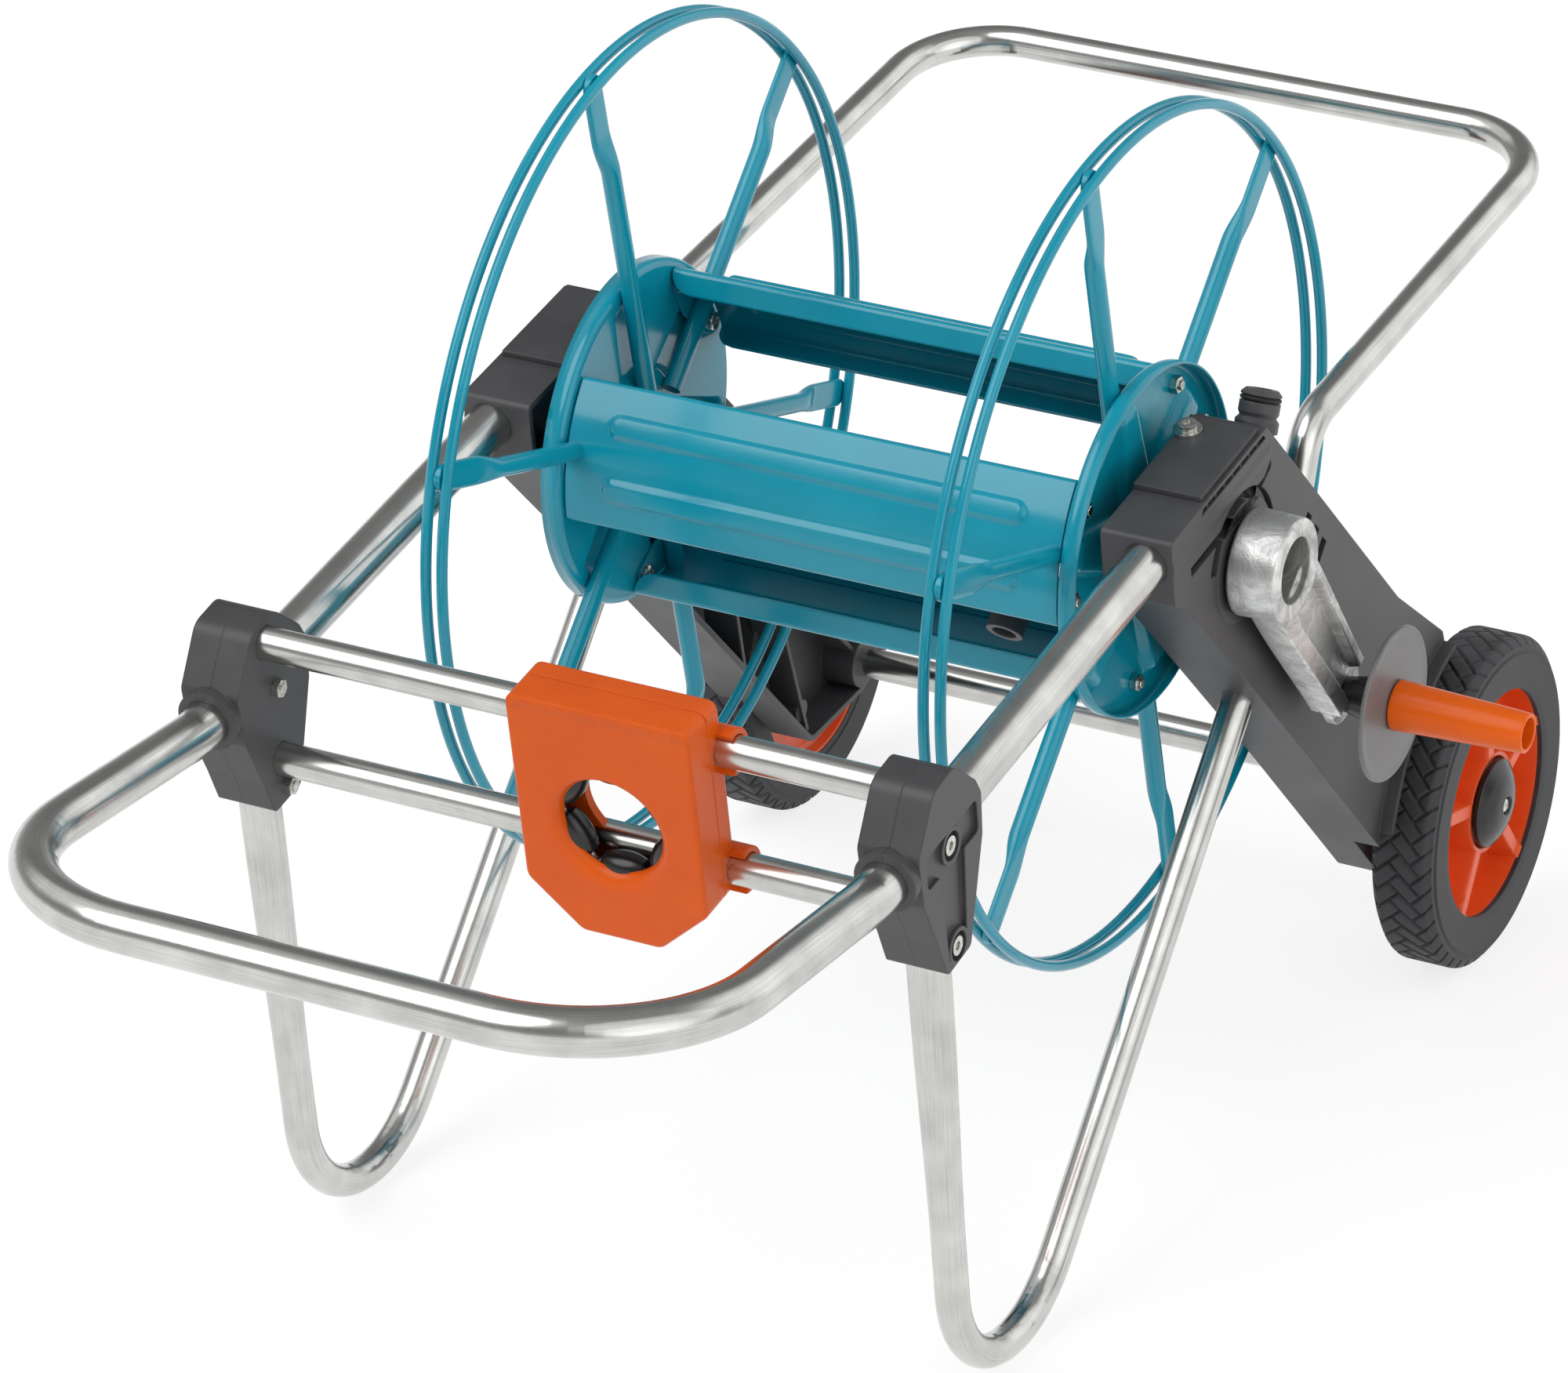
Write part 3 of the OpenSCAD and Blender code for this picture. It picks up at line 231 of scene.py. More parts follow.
@dataclass
class Shell:
    """Points in mm with faces by index and a UV in metres for each face corner."""

    points: np.ndarray
    faces: list[np.ndarray] = field(default_factory=list)
    uvs: list[np.ndarray] = field(default_factory=list)

    @staticmethod
    def grid(points: np.ndarray, loop_u: bool = False, loop_v: bool = False) -> Shell:
        """Quads over a grid of points; UVs are the arc lengths along both ways of the grid.

        Args:
            points: Array (rows, columns, 3).
            loop_u: Whether the last row joins the first.
            loop_v: Whether the last column joins the first.

        Returns:
            The surface.
        """
        nu, nv = points.shape[:2]
        i, j = np.meshgrid(np.arange(nu - (not loop_u)), np.arange(nv - (not loop_v)), indexing="ij")
        i, j = i.ravel(), j.ravel()
        i2, j2 = (i + 1) % nu, (j + 1) % nv
        quads = np.stack([i * nv + j, i2 * nv + j, i2 * nv + j2, i * nv + j2], axis=1)
        down = np.linalg.norm(np.diff(points, axis=0, append=points[:1]), axis=2).max(axis=1)
        right = np.linalg.norm(np.diff(points, axis=1, append=points[:, :1]), axis=2).max(axis=0)
        u, v = (np.concatenate([[0], np.cumsum(steps)]) / 1000 for steps in (down, right))
        corners = ((i, j), (i + 1, j), (i + 1, j + 1), (i, j + 1))
        uv = np.stack([np.stack([u[a], v[b]], -1) for a, b in corners], 1)
        return Shell(points.reshape(-1, 3), [quads], [uv])

    @staticmethod
    def bar(points: np.ndarray) -> Shell:
        """A grid whose last column joins the first, with a flat face over its first and last row."""
        ring = np.arange(points.shape[1])
        return Shell.grid(points, False, True).capped(ring, (len(points) - 1) * len(ring) + ring[::-1])

    def capped(self, *rings: np.ndarray) -> Shell:
        """Closes open ends with one flat face each.

        Args:
            *rings: Indices of the points round each end.

        Returns:
            This surface.
        """
        for ring in rings:
            self.faces.append(np.asarray(ring)[None])
            self.uvs.append(self.points[np.asarray(ring)][None, :, :2] / 1000)
        return self

    def plus(self, *others: Shell) -> Shell:
        """This surface and others as one.

        Args:
            *others: Surfaces to add.

        Returns:
            A new surface.
        """
        points, faces, uvs, base = [], [], [], 0
        for s in (self, *others):
            points.append(s.points)
            faces += [f + base for f in s.faces]
            uvs += s.uvs
            base += len(s.points)
        return Shell(np.vstack(points), faces, uvs)

    def moved(self, offset: np.ndarray) -> Shell:
        """A copy moved by offset."""
        return Shell(self.points + offset, self.faces, self.uvs)

    def turned(self, degrees: float) -> Shell:
        """A copy turned about the X axis."""
        return Shell(turn_about_x(self.points, degrees), self.faces, self.uvs)

    def mirrored(self) -> Shell:
        """A copy on the other side of the plane x = 0, with its faces still outwards."""
        flip = self.points * vec(-1, 1, 1)
        return Shell(flip, [f[:, ::-1] for f in self.faces], [u[:, ::-1] for u in self.uvs])

    def on(self, side: Side) -> Shell:
        """This surface for the right side, or its mirror image for the left."""
        return self if side is Side.RIGHT else self.mirrored()

    def placed(self, origin: np.ndarray, x_way: np.ndarray, z_way: np.ndarray) -> Shell:
        """A copy whose own X and Z axes point along two given directions.

        Args:
            origin: Where its own origin goes.
            x_way: Unit direction of its X axis.
            z_way: Unit direction of its Z axis.

        Returns:
            A new surface.
        """
        axes = np.stack([x_way, np.cross(z_way, x_way), z_way])
        return Shell(self.points @ axes + origin, self.faces, self.uvs)


def sweep(path: np.ndarray, section: np.ndarray, reference: np.ndarray, closed: bool = False) -> Shell:
    """A section carried along a path.

    At each point the section's first axis is tangent x reference and its second is square to
    both, so it never twists while the path stays clear of the reference's direction.

    Args:
        path: Points of the path.
        section: Array (sides, 2), or (points, sides, 2) for a section that changes.
        reference: A direction that the path never takes.
        closed: Whether the path is a ring.

    Returns:
        The surface, closed at both ends by flat faces.
    """
    steps = np.roll(path, -1, axis=0) - path if closed else np.diff(path, axis=0)
    steps = unit(steps)
    if closed:
        tangent = unit(steps + np.roll(steps, 1, axis=0))
    else:
        tangent = unit(np.vstack([steps[:1], steps]) + np.vstack([steps, steps[-1:]]))
    across = unit(np.cross(tangent, reference))
    upward = np.cross(across, tangent)
    cut = section if section.ndim == 3 else section[None]
    points = path[:, None] + across[:, None] * cut[..., :1] + upward[:, None] * cut[..., 1:]
    return Shell.grid(points, True, True) if closed else Shell.bar(points)


def tube(
    path: np.ndarray, radius: float, reference: np.ndarray, sides: int = 40, closed: bool = False
) -> Shell:
    """A round bar along a path.

    Args:
        path: Points of the path.
        radius: Outer radius in mm.
        reference: A direction that the path never takes.
        sides: Points round the bar.
        closed: Whether the path is a ring.

    Returns:
        The surface.
    """
    circle = oval([radius], [radius], [2.0], sides)[0]
    return sweep(path, circle, reference, closed)


def revolve(profile: np.ndarray, steps: int = 96, closed: bool = False) -> Shell:
    """A profile of (x, radius) turned about the X axis: y = r cos t, z = r sin t.

    Args:
        profile: Points of the profile.
        steps: Points round the axis.
        closed: Whether the profile is a loop.

    Returns:
        The surface; ends of an open profile at radius 0 become poles.
    """
    return Shell.grid(around_x(profile[:, :1], profile[:, 1:], full_turn(steps)), closed, True)


def rounded_profile(corners: Sequence[Sequence[float]], closed: bool = True) -> np.ndarray:
    """A 2-D outline from rows of (a, b, radius)."""
    rows = np.array(corners, float)
    radii = rows[:, 2] if closed else rows[1:-1, 2]
    return rounded_path(rows[:, :2], radii, closed)


def spread(outline: np.ndarray, by: float) -> np.ndarray:
    """A counter-clockwise outline moved outwards along the mean normal of the sides at each point.

    Args:
        outline: Points of the closed outline.
        by: Distance, negative for inwards.

    Returns:
        The moved outline.
    """
    ahead = unit(np.roll(outline, -1, axis=0) - outline)
    behind = unit(outline - np.roll(outline, 1, axis=0))
    out_ahead, out_behind = (np.stack([way[:, 1], -way[:, 0]], 1) for way in (ahead, behind))
    normal = unit(out_ahead + out_behind)
    cosine = np.sum(normal * out_ahead, axis=1, keepdims=True)
    return outline + normal * by / np.maximum(cosine, MITRE_LIMIT)


def slab(outline: np.ndarray, x0: float, x1: float, edge: float = 1.0) -> Shell:
    """A plate in the side view, from x0 to x1, whose two rims are quarter circles of radius edge.

    Args:
        outline: Counter-clockwise (y, z) outline.
        x0: Start of the plate.
        x1: End of the plate.
        edge: Radius of the rounded rims.

    Returns:
        The closed surface.
    """
    turn = np.radians(np.linspace(90, 0, 5))
    near = [(x0 + edge * (1 - math.sin(b)), -edge * (1 - math.cos(b))) for b in turn]
    far = [(x0 + x1 - x, inset) for x, inset in reversed(near)]
    layers = []
    for x, inset in near + far:
        ring = spread(outline, inset)
        layers.append(np.column_stack([np.full(len(ring), x), ring]))
    return Shell.bar(np.array(layers))


def pan_head(radius: float, height: float, recess: float) -> Shell:
    """A pan head screw, axis along X, head outwards, with a cross recess.

    The head's height is a flat dome that falls as the fourth power of the radius, less a
    smooth cross-shaped pit round the axis.

    Args:
        radius: Radius of the head.
        height: Height of the head over x = 0.
        recess: Half width of the recess's arms.

    Returns:
        The surface.
    """
    sides = 64
    r = np.concatenate([np.linspace(0, 0.62, 14), np.linspace(0.66, 1.0, 8)])[:, None] * radius
    t = full_turn(sides)
    arm = r * np.minimum(np.abs(np.cos(t)), np.abs(np.sin(t)))
    pit = (1 - ease(arm, recess * 0.7, recess * 1.3)) * (1 - ease(r, radius * 0.5, radius * 0.58))
    x = height * (1 - 0.45 * (r / radius) ** 4 - 0.62 * pit)
    cap = Shell.grid(around_x(x, r, t)[::-1], False, True)
    skirt = revolve(np.array([[0.0, radius], [height * 0.55, radius]]), sides)
    return cap.plus(skirt)


def hex_nut(radius: float, height: float, bolt: float) -> Shell:
    """A hexagon nut with a bolt end in it, axis along X.

    Args:
        radius: Radius to the corners.
        height: Height of the nut.
        bolt: Radius of the bolt.

    Returns:
        The closed surface.
    """
    body = slab(around_x(0, radius, full_turn(6))[:, 1:], 0, height, 0.5)
    tip = height + 1.5
    end = revolve(rounded_profile([(0, 0, 0), (0, bolt, 0), (tip, bolt, 0.6), (tip, 0, 0)], False))
    return body.plus(end)


# ---------- Finishes ----------


def linear(code: str) -> tuple[float, float, float, float]:
    """Linear colour of an sRGB hex code, by the sRGB transfer curve.

    Args:
        code: Six hex digits after a '#'.

    Returns:
        Red, green, blue and an alpha of 1.
    """
    s = np.array([int(code[i : i + 2], 16) / 255 for i in (1, 3, 5)])
    rgb = np.where(s <= 0.04045, s / 12.92, ((s + 0.055) / 1.055) ** 2.4)
    return (*rgb.tolist(), 1.0)


def grey(level: float) -> tuple[float, float, float, float]:
    """A grey of the given linear level."""
    return (level, level, level, 1.0)


def add(
    tree: bpy.types.NodeTree,
    kind: str,
    links: dict[str | int, object] | None = None,
    stops: Sequence[tuple[float, tuple[float, ...]]] = (),
    **settings: object,
) -> bpy.types.Node:
    """Adds a node with its settings, socket values and links.

    Args:
        tree: The node tree.
        kind: Blender's name of the node type.
        links: Socket name or number to a value, or to the output it is fed from.
        stops: Position and linear colour of a colour ramp's stops, from left to right.
        **settings: Attributes of the node.

    Returns:
        The new node.
    """
    node = tree.nodes.new(kind)
    for name, value in settings.items():
        setattr(node, name, value)
    for key, value in (links or {}).items():
        if isinstance(value, bpy.types.NodeSocket):
            tree.links.new(value, node.inputs[key])
        else:
            node.inputs[key].default_value = value
    for i, (position, colour) in enumerate(stops):
        marks = node.color_ramp.elements
        mark = marks[i] if i < len(marks) else marks.new(position)
        mark.position, mark.color = position, colour
    return node


def blotches(tree: bpy.types.NodeTree, size_mm: float, detail: float) -> bpy.types.NodeSocket:
    """Noise on the object's coordinates.

    Args:
        tree: The node tree.
        size_mm: Size of one blotch.
        detail: Octaves of finer noise in it.

    Returns:
        The noise's factor.
    """
    where = add(tree, "ShaderNodeTexCoord").outputs["Object"]
    links = {"Vector": where, "Scale": 1000.0 / size_mm, "Detail": detail}
    return add(tree, "ShaderNodeTexNoise", links).outputs[0]


@dataclass(frozen=True)
class Finish:
    """A surface finish of two close tones and two roughnesses; each kind adds its own pattern.

    Where the pattern's mask is low the surface takes the first tone and the first roughness,
    where it is high the second ones.
    """

    slot: Slot
    tones: tuple[str, str]
    rough: tuple[float, float]
    tones_at: tuple[float, float] = (0.3, 0.7)
    rough_at: tuple[float, float] = (0.3, 0.7)
    edge_mm: float = 0.0

    def material(self) -> bpy.types.Material:
        """The material of this finish, built once."""
        name = type(self).__name__ + "_" + self.slot.value
        found = bpy.data.materials.get(name)
        if found:
            return found
        made = bpy.data.materials.new(name)
        made.use_nodes = True
        tree = made.node_tree
        tree.nodes.clear()
        shader = tree.nodes.new("ShaderNodeBsdfPrincipled")
        add(tree, "ShaderNodeOutputMaterial", {"Surface": shader.outputs[0]})
        self.dress(tree, shader)
        return made

    def dress(self, tree: bpy.types.NodeTree, shader: bpy.types.Node) -> None:
        """Adds this finish's nodes and feeds the shader."""
        raise NotImplementedError

    def feed(
        self,
        tree: bpy.types.NodeTree,
        shader: bpy.types.Node,
        mask: bpy.types.NodeSocket,
        *reliefs: tuple[bpy.types.NodeSocket, float],
    ) -> None:
        """Feeds colour, roughness and normal.

        Args:
            tree: The node tree.
            shader: The shader.
            mask: What mixes the tones and the roughnesses.
            *reliefs: Height field and depth in mm of each relief, stacked over the rounded edges.
        """
        stops = [(at, linear(tone)) for at, tone in zip(self.tones_at, self.tones)]
        tint = add(tree, "ShaderNodeValToRGB", {"Fac": mask}, stops).outputs[0]
        tree.links.new(tint, shader.inputs["Base Color"])
        (low, high), (at_low, at_high) = self.rough, self.rough_at
        gloss = add(tree, "ShaderNodeMapRange", {0: mask, 1: at_low, 2: at_high, 3: low, 4: high}).outputs[0]
        tree.links.new(gloss, shader.inputs["Roughness"])
        under = {}
        if self.edge_mm:
            round_edge = {"Radius": self.edge_mm / 1000}
            under["Normal"] = add(tree, "ShaderNodeBevel", round_edge, samples=6).outputs[0]
        for height, depth_mm in reliefs:
            links = {"Height": height, "Strength": 1.0, "Distance": depth_mm / 1000, **under}
            under["Normal"] = add(tree, "ShaderNodeBump", links).outputs[0]
        tree.links.new(under["Normal"], shader.inputs["Normal"])


@dataclass(frozen=True)
class PowderCoat(Finish):
    """Glossy polyester powder coat on steel, sprayed and baked.

    Gives an even colour under a clear, slightly rippled gloss, with soft wide highlights.
    """

    slot: Slot = Slot.TEAL
    tones: tuple[str, str] = ("#068CA4", "#0A98B0")
    rough: tuple[float, float] = (0.14, 0.22)
    cloud_mm: float = 60.0
    ripple_mm: float = 2.6
    ripple_depth_mm: float = 0.02

    def dress(self, tree: bpy.types.NodeTree, shader: bpy.types.Node) -> None:
        """Even colour, gloss coat and orange-peel ripple."""
        peel = blotches(tree, self.ripple_mm, 1.0)
        self.feed(tree, shader, blotches(tree, self.cloud_mm, 3.0), (peel, self.ripple_depth_mm))
        shader.inputs["IOR"].default_value = 1.47
        shader.inputs["Coat Weight"].default_value = 0.12
        shader.inputs["Coat Roughness"].default_value = 0.08


@dataclass(frozen=True)
class DrawnTube(Finish):
    """Welded steel tube with bright zinc plating, drawn through rolls.

    Gives mirror-like bands along the tube, softened by lengthwise streaks and faint cloudy
    patches of the plating. Reads the sweep's UVs: U runs along the tube. The streaks are
    drawn coarser than real drawing marks, which are too fine to show.
    """

    slot: Slot = Slot.TUBE
    tones: tuple[str, str] = ("#B4B4B2", "#D8D8D4")
    rough: tuple[float, float] = (0.28, 0.16)
    tones_at: tuple[float, float] = (0.3, 0.65)
    streak_mm: float = 0.5
    streak_stretch: float = 0.012
    streak_depth_mm: float = 0.012
    patch_mm: float = 22.0

    def dress(self, tree: bpy.types.NodeTree, shader: bpy.types.Node) -> None:
        """Metal with streaks along U and patches on object coordinates."""
        along = add(tree, "ShaderNodeTexCoord").outputs["UV"]
        scale = (self.streak_stretch, 1.0, 1.0)
        drawn = add(tree, "ShaderNodeMapping", {"Vector": along, "Scale": scale}).outputs[0]
        links = {"Vector": drawn, "Scale": 1000.0 / self.streak_mm, "Detail": 2.0}
        streak = add(tree, "ShaderNodeTexNoise", links).outputs[0]
        patch = blotches(tree, self.patch_mm, 4.0)
        both = add(tree, "ShaderNodeMix", {0: 0.5, 2: streak, 3: patch}).outputs[0]
        self.feed(tree, shader, both, (streak, self.streak_depth_mm))
        shader.inputs["Metallic"].default_value = 1.0


@dataclass(frozen=True)
class MouldedPlastic(Finish):
    """Injection-moulded polypropylene or ABS, coloured through.

    Gives a soft sheen broken by a fine spark-eroded grain, and rounded edges that catch a
    thin line of light. The grain is drawn coarser than the real one, which is too fine to show.
    """

    slot: Slot = Slot.GREY
    tones: tuple[str, str] = ("#3C3C3E", "#48484A")
    rough: tuple[float, float] = (0.42, 0.52)
    edge_mm: float = 1.2
    cloud_mm: float = 35.0
    grain_mm: float = 0.7
    grain_depth_mm: float = 0.03
    scatter: float = 0.0
    shine: float = 0.5

    def dress(self, tree: bpy.types.NodeTree, shader: bpy.types.Node) -> None:
        """Through-coloured base with grain, and light that enters a little way if it scatters."""
        grain = blotches(tree, self.grain_mm, 2.0)
        cloud = blotches(tree, self.cloud_mm, 3.0)
        self.feed(tree, shader, cloud, (grain, self.grain_depth_mm), *self.marks(tree))
        shader.inputs["IOR"].default_value = 1.5
        shader.inputs["Specular IOR Level"].default_value = self.shine
        if self.scatter:
            shader.inputs["Subsurface Weight"].default_value = self.scatter
            shader.inputs["Subsurface Radius"].default_value = (0.004, 0.0015, 0.0006)
            shader.inputs["Subsurface Scale"].default_value = 1.0

    def marks(self, tree: bpy.types.NodeTree) -> list[tuple[bpy.types.NodeSocket, float]]:
        """Reliefs that a kind of moulding has over its grain; here none."""
        return []


@dataclass(frozen=True)
class RibbedShell(MouldedPlastic):
    """The hose guide's plastic, with fine grip ribs along its top edge.

    The ribs are a sine wave across the guide that fades out below the band.
    """

    slot: Slot = Slot.ORANGE
    tones: tuple[str, str] = ("#D75406", "#DF5C08")
    rough: tuple[float, float] = (0.28, 0.38)
    edge_mm: float = 0.7
    shine: float = 0.28
    rib_mm: float = 1.1
    rib_depth_mm: float = 0.10
    band_from: float = 0.3445
    band_fade: float = 0.001

    def marks(self, tree: bpy.types.NodeTree) -> list[tuple[bpy.types.NodeSocket, float]]:
        """The band of ribs: the sine of x times a ramp of z."""
        where = add(tree, "ShaderNodeTexCoord").outputs["Object"]
        x, _, z = add(tree, "ShaderNodeSeparateXYZ", {0: where}).outputs
        turns = {0: x, 1: TAU * 1000 / self.rib_mm}
        phase = add(tree, "ShaderNodeMath", turns, operation="MULTIPLY").outputs[0]
        wave = add(tree, "ShaderNodeMath", {0: phase}, operation="SINE").outputs[0]
        fade = {0: z, 1: self.band_from, 2: self.band_from + self.band_fade}
        band = add(tree, "ShaderNodeMapRange", fade).outputs[0]
        ribs = add(tree, "ShaderNodeMath", {0: wave, 1: band}, operation="MULTIPLY").outputs[0]
        return [(ribs, self.rib_depth_mm)]


@dataclass(frozen=True)
class Rubber(Finish):
    """Solid tyre rubber or thermoplastic elastomer, moulded matt.

    Gives a near-black that lightens to dusty grey at grazing light, with hardly any shine.
    """

    slot: Slot = Slot.TYRE
    tones: tuple[str, str] = ("#2C2D2F", "#3B3C3F")
    rough: tuple[float, float] = (0.62, 0.75)
    edge_mm: float = 0.6
    cloud_mm: float = 14.0
    pit_mm: float = 0.9
    pit_depth_mm: float = 0.05

    def dress(self, tree: bpy.types.NodeTree, shader: bpy.types.Node) -> None:
        """Dark base, high roughness, a little sheen and fine pitting."""
        pits = blotches(tree, self.pit_mm, 3.0)
        self.feed(tree, shader, blotches(tree, self.cloud_mm, 4.0), (pits, self.pit_depth_mm))
        shader.inputs["IOR"].default_value = 1.5
        shader.inputs["Sheen Weight"].default_value = 0.08


@dataclass(frozen=True)
class CastAlloy(Finish):
    """Pressure-die-cast zinc or aluminium alloy, as cast, tumbled and bare.

    Gives a light metal with cloudy flow marks: bright smooth areas beside dull grainy
    ones, faint pits, and edges rounded by the tumbling.
    """

    slot: Slot = Slot.CAST
    tones: tuple[str, str] = ("#B2B2B1", "#E6E6E4")
    rough: tuple[float, float] = (0.62, 0.36)
    tones_at: tuple[float, float] = (0.36, 0.62)
    rough_at: tuple[float, float] = (0.35, 0.65)
    edge_mm: float = 1.6
    flows_per_m: float = 62.0
    flow_depth_mm: float = 0.5
    pit_mm: float = 0.9
    pit_depth_mm: float = 0.10

    def dress(self, tree: bpy.types.NodeTree, shader: bpy.types.Node) -> None:
        """Flow marks drive colour, roughness and relief."""
        where = add(tree, "ShaderNodeTexCoord").outputs["Object"]
        links = {"Vector": where, "Scale": self.flows_per_m, "Detail": 6.0}
        links |= {"Roughness": 0.68, "Distortion": 1.4}
        flow = add(tree, "ShaderNodeTexNoise", links).outputs[0]
        pits = blotches(tree, self.pit_mm, 3.0)
        self.feed(tree, shader, flow, (flow, self.flow_depth_mm), (pits, self.pit_depth_mm))
        shader.inputs["Metallic"].default_value = 1.0


@dataclass(frozen=True)
class SatinDisc(Finish):
    """Thin polyethylene disc, moulded in grey with a little metallic pigment.

    Gives a flat, even grey face with a soft sheen.
    """

    slot: Slot = Slot.DISC
    tones: tuple[str, str] = ("#6C6C6C", "#787878")
    rough: tuple[float, float] = (0.36, 0.46)
    cloud_mm: float = 18.0
    grain_mm: float = 1.2
    grain_depth_mm: float = 0.02

    def dress(self, tree: bpy.types.NodeTree, shader: bpy.types.Node) -> None:
        """Even grey with a faint grain."""
        grain = blotches(tree, self.grain_mm, 2.0)
        self.feed(tree, shader, blotches(tree, self.cloud_mm, 3.0), (grain, self.grain_depth_mm))
        shader.inputs["Metallic"].default_value = 0.25


@dataclass(frozen=True)
class ZincPlate(Finish):
    """Bright zinc plating on small steel screws and nuts.

    Gives small sharp glints, with slightly yellow-grey recesses.
    """

    slot: Slot = Slot.ZINC
    tones: tuple[str, str] = ("#B5B3AB", "#E0DFDA")
    rough: tuple[float, float] = (0.32, 0.2)
    tones_at: tuple[float, float] = (0.35, 0.65)
    edge_mm: float = 0.3
    blotch_mm: float = 2.0
    blotch_depth_mm: float = 0.03

    def dress(self, tree: bpy.types.NodeTree, shader: bpy.types.Node) -> None:
        """Metal with fine blotches."""
        cloud = blotches(tree, self.blotch_mm, 3.0)
        self.feed(tree, shader, cloud, (cloud, self.blotch_depth_mm))
        shader.inputs["Metallic"].default_value = 1.0


TEAL = PowderCoat()
PLATED = DrawnTube()
DARK = MouldedPlastic()
RIBBED = RibbedShell()
# What pieces from a polished mould share
POLISHED = {"rough": (0.26, 0.36), "edge_mm": 0.8, "grain_mm": 0.8, "grain_depth_mm": 0.012, "scatter": 0.03}
ORANGE = MouldedPlastic(Slot.ORANGE, ("#E45E08", "#EC640A"), shine=0.28, **POLISHED)
RIM_RED = MouldedPlastic(Slot.RIM, ("#DE501C", "#EA5A24"), shine=0.4, **POLISHED)
GLOSS_BLACK = MouldedPlastic(
    Slot.BLACK, ("#171718", "#1D1D1E"), (0.18, 0.28), edge_mm=0.4, grain_mm=1.5, grain_depth_mm=0.01
)
TYRE = Rubber()
SEAL = Rubber(Slot.RUBBER, ("#161617", "#1C1C1D"), edge_mm=0.3)
CAST = CastAlloy()
DISC = SatinDisc()
ZINC = ZincPlate()


# ---------- The cart ----------


@dataclass
class Cart:
    """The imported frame, and the maker of pieces on it."""

    nodes: dict[str, bpy.types.Object]
    origin: np.ndarray
    count: int = 0

    @staticmethod
    def load() -> Cart:
        """Loads the frame; the reel's middle is the middle of its four wire rings."""
        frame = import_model()
        low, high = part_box("left_rings")[0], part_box("right_rings")[1]
        return Cart(frame["nodes"], (np.array(low) + np.array(high)) * 500.0)

    def piece(
        self,
        name: str,
        shell: Shell,
        finish: Finish,
        nodes: Sequence[str],
        bevel: float = 0.0,
        wall: float = 0.0,
        sharp: float = 38.0,
    ) -> bpy.types.Object:
        """Makes a shell into a piece that stands for some CAD nodes and rides on their body.

        Args:
            name: Name of the piece.
            shell: Its surface, in the reel's frame.
            finish: Its finish.
            nodes: CAD nodes it replaces; the first gives its body.
            bevel: Radius in mm of a bevel on its sharp edges.
            wall: Thickness in mm that an open sheet gets, to the back of its faces.
            sharp: Angle in degrees past which an edge stays sharp.

        Returns:
            The object.
        """
        mesh = bpy.data.meshes.new(name)
        mesh.vertices.add(len(shell.points))
        mesh.vertices.foreach_set("co", ((shell.points + self.origin) / 1000).astype(np.float32).ravel())
        corner = np.concatenate([f.ravel() for f in shell.faces])
        sizes = np.concatenate([np.full(len(f), f.shape[1]) for f in shell.faces])
        mesh.loops.add(len(corner))
        mesh.loops.foreach_set("vertex_index", corner.astype(np.int32))
        mesh.polygons.add(len(sizes))
        starts = np.concatenate([[0], np.cumsum(sizes)[:-1]])
        mesh.polygons.foreach_set("loop_start", starts.astype(np.int32))
        uv = np.concatenate([u.reshape(-1, 2) for u in shell.uvs]).astype(np.float32)
        mesh.update(calc_edges=True)
        mesh.uv_layers.new(name="UVMap").data.foreach_set("uv", uv.ravel())
        welder = bmesh.new()
        welder.from_mesh(mesh)
        bmesh.ops.remove_doubles(welder, verts=welder.verts, dist=2e-6)
        bmesh.ops.dissolve_degenerate(welder, dist=1e-7, edges=welder.edges)
        bmesh.ops.recalc_face_normals(welder, faces=welder.faces)
        welder.to_mesh(mesh)
        welder.free()
        mesh.shade_smooth()
        mesh.set_sharp_from_angle(angle=math.radians(sharp))
        made = bpy.data.objects.new(name, mesh)
        bpy.context.scene.collection.objects.link(made)
        if wall:
            solid = made.modifiers.new("wall", "SOLIDIFY")
            solid.thickness = wall / 1000
            solid.offset = -1.0
            solid.use_even_offset = True
        if bevel:
            edge = made.modifiers.new("edge", "BEVEL")
            edge.width = bevel / 1000
            edge.segments = 3
            edge.limit_method = "ANGLE"
            edge.angle_limit = math.radians(sharp)
            edge.harden_normals = True
        mesh.materials.append(finish.material())
        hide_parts(*nodes)
        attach(made, self.nodes[nodes[0]]["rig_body"])
        self.count += 1
        LOG.info("%s: %d faces, for %s", name, len(mesh.polygons), ", ".join(nodes))
        return made

    def finish_nodes(self, finish: Finish, *names: str) -> None:
        """Gives CAD nodes that stay a finish.

        Args:
            finish: The finish.
            *names: The nodes.
        """
        for name in names:
            node = self.nodes[name]
            node.data.materials.clear()
            node.data.materials.append(finish.material())
            LOG.info("%s: kept, in %s", name, finish.slot.value)


@dataclass
class Strand:
    """The straight side of the front loop, which slopes up to the housings and carries the clamps."""

    slope: float = 10.6
    height: float = 39.5
    x: float = 172.0

    def point(self, u: float, w: float) -> np.ndarray:
        """(y, z) at u along the tube and w square to it."""
        c, s = math.cos(math.radians(self.slope)), math.sin(math.radians(self.slope))
        return vec(u * c - w * s, self.height + u * s + w * c)

    @property
    def up(self) -> np.ndarray:
        """Direction square to the tube, upwards."""
        return vec(0, -math.sin(math.radians(self.slope)), math.cos(math.radians(self.slope)))

    def at(self, x: float, u: float, w: float) -> np.ndarray:
        """Point in space from its x and its place along and above the tube."""
        return vec(x, *self.point(u, w))


STRAND = Strand()


